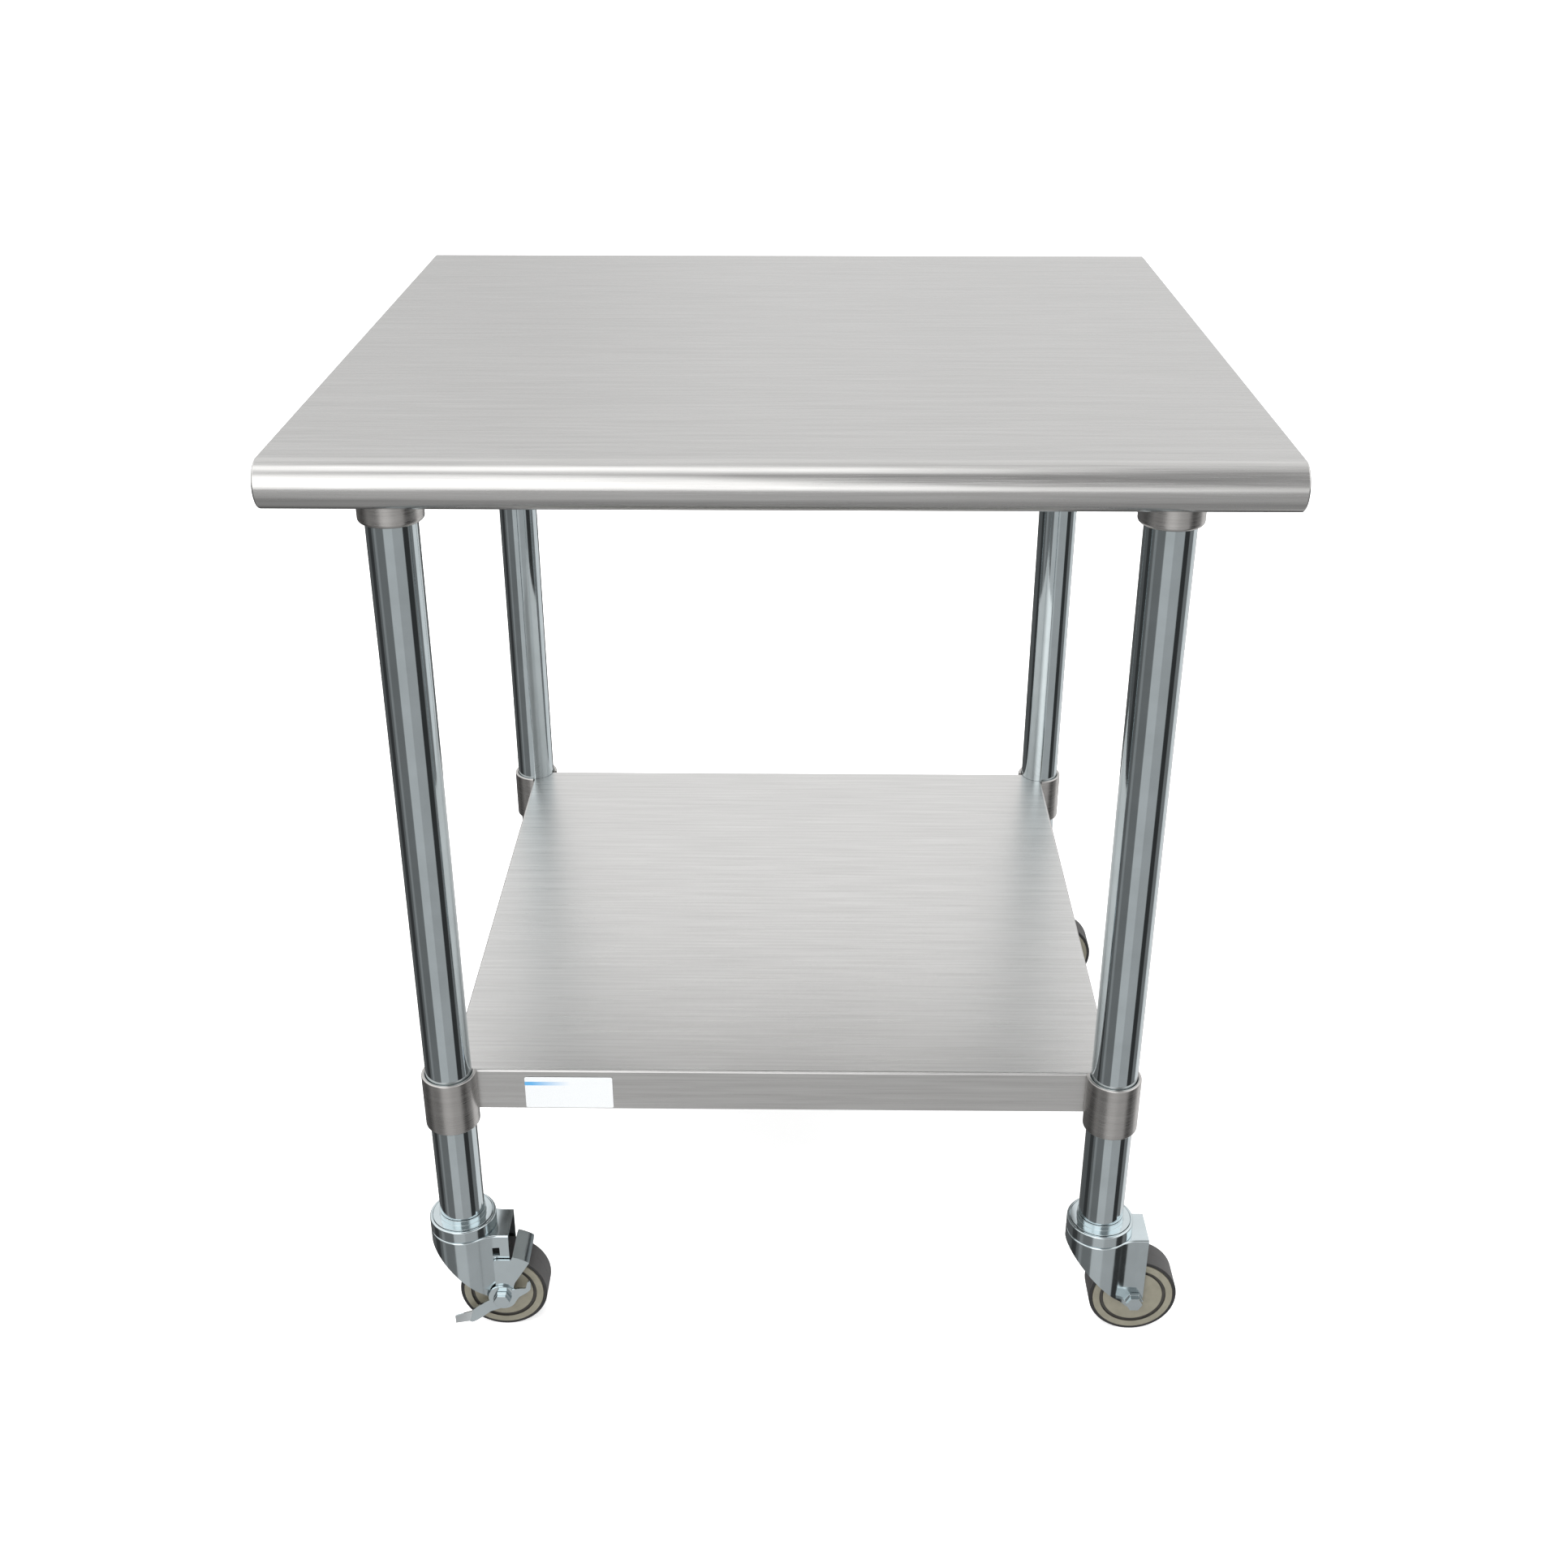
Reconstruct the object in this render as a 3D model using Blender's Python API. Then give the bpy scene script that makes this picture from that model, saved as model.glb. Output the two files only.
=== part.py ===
"""Stainless work table with an adjustable undershelf, on four swivel casters.

The frame stands on the floor plane z = 0, with the origin under the centre of the top.
+X runs to the right, +Y to the back and +Z up, and the rolled front edge faces -Y.
Every caster trails towards +X, and its axle runs along Y.
"""

import math

import bmesh
import bpy
from mathutils import Matrix, Vector

MM = 0.001
GAP = 0.3 * MM  # between two pieces that touch

# Table top: one folded sheet with a half-round roll at the front and at the back
TOP_SIZE = 762 * MM
TOP_HEIGHT = 849 * MM
ROLL_RADIUS = 19.05 * MM
SHEET = 1.5 * MM
RETURN_LIP = 14 * MM
ROLL_LIP = 4 * MM
HALF_TOP = TOP_SIZE / 2

# Legs
LEG_SPREAD = 293.5 * MM  # from the legs' common centre to a leg, along X and along Y
LEG_CENTRE_Y = -37.3 * MM
TUBE_RADIUS = 20.25 * MM
TUBE_WALL = 1.5 * MM
TUBE_FOOT = 128.4 * MM

# Channels under the top
CHANNEL_DEPTH = 25 * MM
CHANNEL_FLOOR = 50 * MM
CHANNEL_BRIM = 84 * MM
CHANNEL_LENGTH = 708 * MM

# Leg sockets
SOCKET_RADIUS = 25.35 * MM
SOCKET_FOOT = TOP_HEIGHT - 57.4 * MM
SOCKET_ROOF = 3.5 * MM
SOCKET_FLANGE_RADIUS = 30 * MM
SOCKET_FLANGE = 2.5 * MM
SCREW_RADIUS = 3 * MM
SCREW_LENGTH = 6.5 * MM
SOCKET_SCREW_HEIGHT = SOCKET_FOOT + 10 * MM

# Undershelf
SHELF_TOP = TOP_HEIGHT - 569.2 * MM
SHELF_LIP = 41 * MM
SHELF_HEM = 10 * MM
SHELF_HALF_WIDTH = 293.7 * MM
SHELF_FRONT = LEG_CENTRE_Y - 290 * MM
SHELF_BACK = LEG_CENTRE_Y + 292 * MM
SHELF_FOLD = 2.4 * MM
SHELF_CHANNEL_DEPTH = 20 * MM
SHELF_CHANNEL_FLOOR = 60 * MM
SHELF_CHANNEL_BRIM = 100 * MM

# Shelf collars
COLLAR_RADIUS = 23.95 * MM
COLLAR_FOOT = TOP_HEIGHT - 620 * MM
COLLAR_TOP = TOP_HEIGHT - 565 * MM
COLLAR_SCREW_HEIGHT = 254 * MM

# Plate on the shelf's front lip
LABEL_LEFT = -227.5 * MM
LABEL_WIDTH = 78 * MM
LABEL_FOOT = 240 * MM
LABEL_HEIGHT = 33 * MM
LABEL_THICKNESS = 0.6 * MM

# Casters
WHEEL_RADIUS = 40.5 * MM
TRAIL = 34.4 * MM
HUB_RADIUS = 37 * MM
HUB_HALF_WIDTH = 15.75 * MM
HUB_BOSS_RADIUS = 9 * MM
GROOVE_INNER = 27.7 * MM
GROOVE_OUTER = 30.4 * MM
GROOVE_FLOOR = 13.6 * MM  # from the wheel's middle plane
WEB_FACE = 15.3 * MM
TYRE_HALF_WIDTH = 15 * MM
TYRE_SHOULDER = 1.9 * MM
AXLE_RADIUS = 4 * MM
STEM_TOP = 186 * MM
STEM_FOOT = 103 * MM
RIVET_TOP = 106.7 * MM
RIVET_RADIUS = 9 * MM
RING_RADIUS = 21.2 * MM
DISC_FOOT = 120 * MM
POCKET_FLOOR = 119.6 * MM
RING_TOP = 128.1 * MM
DISC_TOP = 123.1 * MM
DISC_RADIUS = 27.2 * MM
CAP_TOP = 122.5 * MM
CAP_FOOT = 110.3 * MM
FORK_RADIUS = 30.2 * MM
FORK_TOP = 110 * MM
FORK_SHEET = 2.5 * MM
FORK_HALF_WIDTH = 19.3 * MM
FORK_REACH = 43.2 * MM
FORK_FILLET = 15 * MM
FORK_FOLD = 2 * MM
FORK_SLOPE = 1.13  # fall of the fork's rear edge, in height over length
TIP_RADIUS = 9 * MM
TIP_HEIGHT = 39 * MM
SPINDLE_RADIUS = 6 * MM
HEX_RADIUS = 7.3 * MM
WASHER_RADIUS = 9.5 * MM
WASHER_SHEET = 1.6 * MM
HEX_FACE = 27.5 * MM
BRAKE_HEX_FACE = 29.9 * MM

# Brake
SHOE_INNER = 20 * MM
SHOE_SHEET = 2 * MM
SHOE_RADIUS = 48.2 * MM
SHOE_START = 56  # degrees round the axle, from +X up
SHOE_END = 75
SHOE_FAR = 17 * MM
SHOE_TRAVEL = 4.6 * MM
LEVER_INNER = 22.3 * MM
LEVER_SHEET = 2.1 * MM
LEVER_HUB = 13 * MM
PAD_BEND = 30  # degrees that the foot pad turns outwards

# Sides of the round pieces
ROUND = 24
SMALL_ROUND = 16
WHEEL_ROUND = 32

STAINLESS = ((0.62, 0.61, 0.60, 1), 0.30, 1.0)
COLLAR_STEEL = ((0.50, 0.48, 0.46, 1), 0.34, 1.0)
GALVANISED = ((0.46, 0.48, 0.49, 1), 0.42, 1.0)
PLATED = ((0.55, 0.58, 0.60, 1), 0.12, 1.0)
RUBBER = ((0.045, 0.045, 0.047, 1), 0.55, 0.0)
POLYMER = ((0.31, 0.29, 0.24, 1), 0.45, 0.0)
LABEL = ((0.85, 0.88, 0.90, 1), 0.35, 0.0)
DARK_STEEL = ((0.18, 0.18, 0.19, 1), 0.35, 1.0)


# ---------------------------------------------------------------- helpers


def clear_scene():
    for obj in list(bpy.data.objects):
        bpy.data.objects.remove(obj, do_unlink=True)


def material(name, look):
    found = bpy.data.materials.get(name)
    if found:
        return found
    colour, roughness, metallic = look
    mat = bpy.data.materials.new(name)
    mat.use_nodes = True
    shader = mat.node_tree.nodes["Principled BSDF"]
    shader.inputs["Base Color"].default_value = colour
    shader.inputs["Roughness"].default_value = roughness
    shader.inputs["Metallic"].default_value = metallic
    return mat


def to_mesh(bm, name):
    """Turns a bmesh into a mesh with its faces pointing out and its round faces shaded smooth."""
    bmesh.ops.recalc_face_normals(bm, faces=bm.faces)
    mesh = bpy.data.meshes.new(name)
    bm.to_mesh(mesh)
    bm.free()
    mesh.shade_smooth()
    mesh.set_sharp_from_angle(angle=math.radians(32))
    return mesh


def place(name, mesh, look, location=(0, 0, 0), parent=None, turn=0.0):
    obj = bpy.data.objects.new(name, mesh)
    bpy.context.scene.collection.objects.link(obj)
    obj.location = location
    obj.rotation_euler = (0, 0, turn)
    obj.parent = parent
    if not mesh.materials:
        mesh.materials.append(None)
    obj.material_slots[0].link = "OBJECT"
    obj.material_slots[0].material = material(name + "_material", look)
    return obj


def pivot(name, location, parent=None):
    empty = bpy.data.objects.new(name, None)
    bpy.context.scene.collection.objects.link(empty)
    empty.location = location
    empty.parent = parent
    return empty


def arc(centre, radius, start, end, steps):
    """Points on an arc in a plane, from start to end in degrees."""
    points = []
    for step in range(steps + 1):
        angle = math.radians(start + (end - start) * step / steps)
        points.append((centre[0] + radius * math.cos(angle), centre[1] + radius * math.sin(angle)))
    return points


def prism(outline, low, high, axis):
    """A closed prism. The outline lies in YZ, XZ or XY for an axis of X, Y or Z."""
    order = {"X": (2, 0, 1), "Y": (0, 2, 1), "Z": (0, 1, 2)}[axis]
    bm = bmesh.new()
    ends = []
    for level in (low, high):
        ring = []
        for a, b in outline:
            values = (a, b, level)
            ring.append(bm.verts.new([values[i] for i in order]))
        ends.append(ring)
        bm.faces.new(ring)
    count = len(outline)
    for i in range(count):
        j = (i + 1) % count
        bm.faces.new((ends[0][i], ends[0][j], ends[1][j], ends[1][i]))
    bmesh.ops.recalc_face_normals(bm, faces=bm.faces)
    return bm


def block(low, high):
    """A box between two corners."""
    outline = [(low[0], low[1]), (high[0], low[1]), (high[0], high[1]), (low[0], high[1])]
    return prism(outline, low[2], high[2], "Z")


def turned(profile, segments, axis="Z"):
    """Turns a closed profile of (radius, height) points round an axis. Radius 0 is a point on it."""
    bm = bmesh.new()
    rings = []
    for radius, height in profile:
        ring = []
        for step in range(segments if radius > 0 else 1):
            angle = 2 * math.pi * step / segments
            ring.append(bm.verts.new((radius * math.cos(angle), radius * math.sin(angle), height)))
        rings.append(ring)
    for first, second in zip(rings, rings[1:] + rings[:1]):
        if len(first) == 1 and len(second) == 1:
            continue
        for i in range(segments):
            j = (i + 1) % segments
            corners = []
            for vert in (first[i % len(first)], first[j % len(first)],
                         second[j % len(second)], second[i % len(second)]):
                if vert not in corners:
                    corners.append(vert)
            bm.faces.new(corners)
    if axis == "Y":
        bmesh.ops.rotate(bm, verts=bm.verts, matrix=Matrix.Rotation(math.radians(90), 3, "X"))
    bmesh.ops.recalc_face_normals(bm, faces=bm.faces)
    return bm


def moved(bm, offset, turn=0.0):
    """Turns a bmesh about Z, then moves it."""
    bmesh.ops.rotate(bm, verts=bm.verts, matrix=Matrix.Rotation(turn, 3, "Z"))
    bmesh.ops.translate(bm, verts=bm.verts, vec=Vector(offset))
    return bm


def scratch(bm):
    mesh = bpy.data.meshes.new("scratch")
    bm.to_mesh(mesh)
    bm.free()
    obj = bpy.data.objects.new("scratch", mesh)
    bpy.context.scene.collection.objects.link(obj)
    return obj


def combine(base, tools, operation="DIFFERENCE"):
    """Applies exact booleans of the tools to the base, and gives the result as a bmesh."""
    body = scratch(base)
    helpers = [scratch(tool) for tool in tools]
    for helper in helpers:
        cut = body.modifiers.new("cut", "BOOLEAN")
        cut.operation = operation
        cut.solver = "EXACT"
        cut.object = helper
    depsgraph = bpy.context.evaluated_depsgraph_get()
    mesh = bpy.data.meshes.new_from_object(body.evaluated_get(depsgraph))
    result = bmesh.new()
    result.from_mesh(mesh)
    bpy.data.meshes.remove(mesh)
    for obj in [body] + helpers:
        data = obj.data
        bpy.data.objects.remove(obj, do_unlink=True)
        bpy.data.meshes.remove(data)
    bmesh.ops.remove_doubles(result, verts=result.verts, dist=0.00001)
    bmesh.ops.dissolve_limit(result, angle_limit=math.radians(0.5), verts=result.verts, edges=result.edges)
    return result


def round_edges(bm, chosen, radius, steps):
    """Rounds the edges for which chosen(edge) is true."""
    edges = [edge for edge in bm.edges if chosen(edge)]
    bmesh.ops.bevel(bm, geom=edges, offset=radius, segments=steps, profile=0.5, affect="EDGES")
    return bm


# ---------------------------------------------------------------- top


def stadium(half_length, radius, steps):
    """Side view of the top, in YZ: a slab whose front and back ends are half-round."""
    centre_z = TOP_HEIGHT - ROLL_RADIUS
    straight = half_length - ROLL_RADIUS
    back = arc((straight, centre_z), radius, -90, 90, steps)
    front = arc((-straight, centre_z), radius, 90, 270, steps)
    return back + front


def table_top():
    """A tray with rolled ends. Its lips turn in under it and leave the middle open."""
    base = prism(stadium(HALF_TOP, ROLL_RADIUS, 20), -HALF_TOP, HALF_TOP, "X")
    inside = HALF_TOP - SHEET
    hollow = prism(stadium(HALF_TOP, ROLL_RADIUS - SHEET, 12), -inside, inside, "X")
    low = TOP_HEIGHT - 2 * ROLL_RADIUS
    half_x = HALF_TOP - RETURN_LIP
    half_y = HALF_TOP - ROLL_RADIUS + ROLL_LIP
    mouth = block((-half_x, -half_y, low - SHEET), (half_x, half_y, low + 3 * SHEET))
    return combine(base, [hollow, mouth])


def hat_profile(floor_width, brim_width, depth, sheet):
    """Cross-section of a hat channel, in XZ, hanging from z = 0."""
    floor = floor_width / 2
    brim = brim_width / 2
    outer = [(-brim, 0), (-brim, -sheet), (-floor, -sheet), (-floor, -depth),
             (floor, -depth), (floor, -sheet), (brim, -sheet), (brim, 0)]
    inner = [(floor - sheet, 0), (floor - sheet, sheet - depth),
             (sheet - floor, sheet - depth), (sheet - floor, 0)]
    return outer + inner


def hat_channel(depth, length, floor_width, brim_width):
    profile = hat_profile(floor_width, brim_width, depth, SHEET)
    return prism(profile, -length / 2, length / 2, "Y")


def leg_socket(inward):
    """A cup with a rounded mouth and a flange, drilled for its set screw on the inward side."""
    top = TOP_HEIGHT - SHEET - GAP - CHANNEL_DEPTH - GAP
    bore = TUBE_RADIUS + GAP
    mouth = 2.5 * MM
    profile = [(0, top), (SOCKET_FLANGE_RADIUS, top), (SOCKET_FLANGE_RADIUS, top - SOCKET_FLANGE),
               (SOCKET_RADIUS, top - SOCKET_FLANGE)]
    profile += arc((SOCKET_RADIUS - mouth, SOCKET_FOOT + mouth), mouth, 0, -90, 2)
    profile += [(bore, SOCKET_FOOT), (bore, top - SOCKET_ROOF), (0, top - SOCKET_ROOF)]
    return combine(turned(profile, ROUND), [screw_hole(inward, SOCKET_SCREW_HEIGHT)])


def screw_hole(inward, height):
    """A cutter along the inward direction, through one side of a sleeve."""
    profile = [(0, 15 * MM), (SCREW_RADIUS + GAP, 15 * MM), (SCREW_RADIUS + GAP, 32 * MM), (0, 32 * MM)]
    bm = turned(profile, SMALL_ROUND)
    bmesh.ops.rotate(bm, verts=bm.verts, matrix=Matrix.Rotation(math.radians(90), 3, "Y"))
    return moved(bm, (0, 0, height), inward)


def set_screw():
    """A headless screw along +X, with a hexagon socket in its outer end."""
    start = TUBE_RADIUS + GAP
    end = start + SCREW_LENGTH
    chamfer = 0.5 * MM
    profile = [(0, start), (SCREW_RADIUS, start), (SCREW_RADIUS, end - chamfer),
               (SCREW_RADIUS - chamfer, end), (0, end)]
    key = prism(arc((0, 0), 1.7 * MM, 0, 300, 5), end - 3 * MM, end + 1 * MM, "Z")
    bm = combine(turned(profile, SMALL_ROUND), [key])
    bmesh.ops.rotate(bm, verts=bm.verts, matrix=Matrix.Rotation(math.radians(90), 3, "Y"))
    return bm


def leg_tube():
    top = TOP_HEIGHT - SHEET - CHANNEL_DEPTH - SOCKET_ROOF - 3 * GAP
    inner = TUBE_RADIUS - TUBE_WALL
    profile = [(TUBE_RADIUS, TUBE_FOOT), (TUBE_RADIUS, top), (inner, top), (inner, TUBE_FOOT)]
    return turned(profile, ROUND)


# ---------------------------------------------------------------- shelf


def shelf_pan():
    """A tray upside down. Its deck is cut close round the tubes and its lips stop at the collars."""
    low = (-SHELF_HALF_WIDTH, SHELF_FRONT, SHELF_TOP - SHELF_LIP)
    high = (SHELF_HALF_WIDTH, SHELF_BACK, SHELF_TOP)
    base = block(low, high)

    def top_edge(edge):
        return all(abs(vert.co.z - SHELF_TOP) < 1e-6 for vert in edge.verts)

    base = round_edges(base, top_edge, SHELF_FOLD, 3)
    hollow = block((low[0] + SHEET, low[1] + SHEET, low[2] + SHEET),
                   (high[0] - SHEET, high[1] - SHEET, high[2] - SHEET))
    mouth = block((low[0] + SHELF_HEM, low[1] + SHELF_HEM, low[2] - SHEET),
                  (high[0] - SHELF_HEM, high[1] - SHELF_HEM, low[2] + 2 * SHEET))
    cutters = [hollow, mouth]
    deck_foot = SHELF_TOP - SHEET
    for _, x, y in leg_places():
        for radius, bottom, top in ((COLLAR_RADIUS + GAP, low[2] - SHEET, deck_foot - GAP),
                                    (TUBE_RADIUS + GAP, deck_foot - 2 * GAP, SHELF_TOP + SHEET)):
            hole = turned([(0, bottom), (radius, bottom), (radius, top), (0, top)], ROUND)
            cutters.append(moved(hole, (x, y, 0)))
    return combine(base, cutters)


def shelf_collar(place_x, place_y, inward):
    """A sleeve whose inner quarter is lower, so that the shelf's deck lies over it."""
    bore = TUBE_RADIUS + GAP
    edge = 1.2 * MM
    outer = arc((COLLAR_RADIUS - edge, COLLAR_FOOT + edge), edge, -90, 0, 2)
    profile = outer + [(COLLAR_RADIUS, COLLAR_TOP), (bore, COLLAR_TOP), (bore, COLLAR_FOOT)]
    reach = 2 * COLLAR_RADIUS
    side_x = -math.copysign(SHELF_HALF_WIDTH - abs(place_x) + GAP, -place_x)
    front = place_y < LEG_CENTRE_Y
    side_y = (SHELF_FRONT - GAP if front else SHELF_BACK + GAP) - place_y
    far_x = side_x + math.copysign(reach, -place_x)
    far_y = side_y + (reach if front else -reach)
    low = (min(side_x, far_x), min(side_y, far_y), SHELF_TOP - SHEET - 2 * GAP)
    high = (max(side_x, far_x), max(side_y, far_y), COLLAR_TOP + SHEET)
    return combine(turned(profile, ROUND), [block(low, high), screw_hole(inward, COLLAR_SCREW_HEIGHT)])


def label_plate():
    """A thin plate with rounded corners on the shelf's front lip."""
    corner = 1.5 * MM
    left = LABEL_LEFT + corner
    right = LABEL_LEFT + LABEL_WIDTH - corner
    foot = LABEL_FOOT + corner
    top = LABEL_FOOT + LABEL_HEIGHT - corner
    outline = arc((right, foot), corner, -90, 0, 3) + arc((right, top), corner, 0, 90, 3)
    outline += arc((left, top), corner, 90, 180, 3) + arc((left, foot), corner, 180, 270, 3)
    back = SHELF_FRONT - GAP
    return prism(outline, back - LABEL_THICKNESS, back, "Y")


# ---------------------------------------------------------------- caster


def caster_stem():
    """Plug in the tube, ring, disc and king pin with its riveted head, in one turned piece."""
    plug = TUBE_RADIUS - TUBE_WALL - GAP
    taper = 3 * MM
    profile = [(0, STEM_FOOT), (RIVET_RADIUS, STEM_FOOT), (RIVET_RADIUS, RIVET_TOP),
               (SPINDLE_RADIUS, RIVET_TOP), (SPINDLE_RADIUS, DISC_FOOT),
               (DISC_RADIUS, DISC_FOOT), (DISC_RADIUS, DISC_TOP),
               (RING_RADIUS, DISC_TOP), (RING_RADIUS, RING_TOP), (plug, RING_TOP),
               (plug, STEM_TOP - taper), (plug - taper, STEM_TOP), (0, STEM_TOP)]
    return turned(profile, ROUND)


def bearing_cap():
    """Round housing over the swivel race. The stem's disc sits in its top."""
    rim = 1.4 * MM
    pocket = DISC_RADIUS + 0.4 * MM
    outer = arc((FORK_RADIUS - rim, CAP_TOP - rim), rim, 0, 90, 2)
    profile = [(FORK_RADIUS, CAP_FOOT)] + outer
    profile += [(pocket, CAP_TOP), (pocket, POCKET_FLOOR), (SPINDLE_RADIUS + GAP, POCKET_FLOOR),
                (SPINDLE_RADIUS + GAP, CAP_FOOT)]
    return turned(profile, ROUND + 4)


def fork_outline(inset, reach):
    """Plan of the fork: round at the swivel, then two flat cheeks towards +X."""
    radius = FORK_RADIUS - inset
    half = FORK_HALF_WIDTH - inset
    fillet = FORK_FILLET + inset
    centre_x = math.sqrt((radius + fillet) ** 2 - (half + fillet) ** 2)
    turn = math.degrees(math.atan2(half + fillet, centre_x))
    near_fillet = arc((centre_x, -half - fillet), fillet, 90, 180 - turn, 3)
    round_end = arc((0, 0), radius, -turn, turn - 360, 20)
    far_fillet = arc((centre_x, half + fillet), fillet, 180 + turn, 270, 3)
    return [(reach, -half)] + near_fillet + round_end[1:-1] + far_fillet + [(reach, half)]


def fork_side():
    """Side view of the fork, in XZ: a sloping rear edge and a round tip at the axle."""
    centre = (FORK_REACH - TIP_RADIUS, TIP_HEIGHT)
    slope = math.degrees(math.atan(FORK_SLOPE))
    tip = arc(centre, TIP_RADIUS, 0, -90 - slope, 5)
    last = tip[-1]
    back_x = -FORK_RADIUS - 8 * MM
    back_z = last[1] + (last[0] - back_x) * FORK_SLOPE
    roof = FORK_TOP + 5 * MM
    return [(back_x, back_z), (back_x, roof), (FORK_REACH, roof)] + tip


def fork(slotted):
    """Pressed fork: a top plate, a skirt that wraps the swivel and two cheeks for the axle."""
    low = 20 * MM
    base = prism(fork_outline(0, FORK_REACH), low, FORK_TOP, "Z")

    def fold(edge):
        on_top = all(abs(vert.co.z - FORK_TOP) < 1e-6 for vert in edge.verts)
        at_mouth = all(abs(vert.co.x - FORK_REACH) < 1e-6 for vert in edge.verts)
        return on_top and not at_mouth

    base = round_edges(base, fold, FORK_FOLD, 2)
    hollow = prism(fork_outline(FORK_SHEET, FORK_REACH + 10 * MM), low - MM, FORK_TOP - 3 * MM, "Z")
    pin_hole = turned([(0, 100 * MM), (SPINDLE_RADIUS + GAP, 100 * MM),
                       (SPINDLE_RADIUS + GAP, 115 * MM), (0, 115 * MM)], SMALL_ROUND)
    cutters = [hollow, pin_hole, axle_hole(), washer_land(1), washer_land(-1)]
    if slotted:
        cutters.append(block((28.1 * MM, -25 * MM, 86 * MM), (34.5 * MM, -12 * MM, 95.6 * MM)))
    shell = combine(base, cutters)
    return combine(shell, [prism(fork_side(), -40 * MM, 40 * MM, "Y")], "INTERSECT")


def axle_hole():
    radius = AXLE_RADIUS + GAP
    half = 60 * MM
    bm = turned([(0, -half), (radius, -half), (radius, half), (0, half)], SMALL_ROUND, "Y")
    return moved(bm, (TRAIL, 0, WHEEL_RADIUS))


def washer_land(side):
    """A cutter that leaves a flat round the axle hole where a washer sits."""
    radius = WASHER_RADIUS + 0.5 * MM
    face = side * FORK_HALF_WIDTH
    far = side * 2 * FORK_HALF_WIDTH
    bm = turned([(0, face), (radius, face), (radius, far), (0, far)], ROUND, "Y")
    return moved(bm, (TRAIL, 0, WHEEL_RADIUS))


def hexagon(radius, low, high):
    """A hexagonal prism along Y, with a flat at the top and the bottom."""
    return prism(arc((0, 0), radius, 0, 300, 5), low, high, "Y")


def bolt(head_start, head_face):
    """Axle bolt with its washer and hexagon head at -Y, centred on the axle."""
    end = FORK_HALF_WIDTH + 10 * MM
    shaft = [(0, -head_start - 0.5 * MM), (AXLE_RADIUS, -head_start - 0.5 * MM),
             (AXLE_RADIUS, end - 0.6 * MM), (AXLE_RADIUS - 0.6 * MM, end), (0, end)]
    shaft = turned([(radius, -y) for radius, y in shaft], SMALL_ROUND, "Y")
    plate = turned([(0, head_start), (WASHER_RADIUS, head_start),
                    (WASHER_RADIUS, head_start + WASHER_SHEET), (0, head_start + WASHER_SHEET)], ROUND, "Y")
    head = hexagon(HEX_RADIUS, -head_face, -head_start - 0.5 * MM)
    return combine(plate, [head, shaft], "UNION")


def nut():
    """Lock nut with its washer at +Y, centred on the axle."""
    start = FORK_HALF_WIDTH + GAP
    end = start + WASHER_SHEET
    plate = turned([(0, -start), (WASHER_RADIUS, -start), (WASHER_RADIUS, -end), (0, -end)], ROUND, "Y")
    body = hexagon(HEX_RADIUS, end - 0.5 * MM, end + 6 * MM)
    bore = AXLE_RADIUS + GAP
    hole = turned([(0, 0), (bore, 0), (bore, -40 * MM), (0, -40 * MM)], SMALL_ROUND, "Y")
    return combine(combine(plate, [body], "UNION"), [hole])


def wheel_hub():
    """Polymer wheel core with a ring groove in each face, turned about the axle."""
    boss = HUB_HALF_WIDTH + 0.65 * MM
    draft = 0.3 * MM
    half = [(AXLE_RADIUS + GAP, boss), (HUB_BOSS_RADIUS, boss), (HUB_BOSS_RADIUS, WEB_FACE),
            (GROOVE_INNER, WEB_FACE), (GROOVE_INNER + draft, GROOVE_FLOOR),
            (GROOVE_OUTER - draft, GROOVE_FLOOR), (GROOVE_OUTER, HUB_HALF_WIDTH),
            (HUB_RADIUS, HUB_HALF_WIDTH)]
    profile = half + [(radius, -y) for radius, y in reversed(half)]
    return turned(profile, ROUND, "Y")


def wheel_tyre():
    """Tread ring with rounded shoulders, turned about the axle."""
    half = [(HUB_RADIUS + GAP, TYRE_HALF_WIDTH), (WHEEL_RADIUS - TYRE_SHOULDER, TYRE_HALF_WIDTH),
            (WHEEL_RADIUS, TYRE_HALF_WIDTH - TYRE_SHOULDER)]
    profile = half + [(radius, -y) for radius, y in reversed(half)]
    return turned(profile, WHEEL_ROUND, "Y")


# ---------------------------------------------------------------- brake


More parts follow.
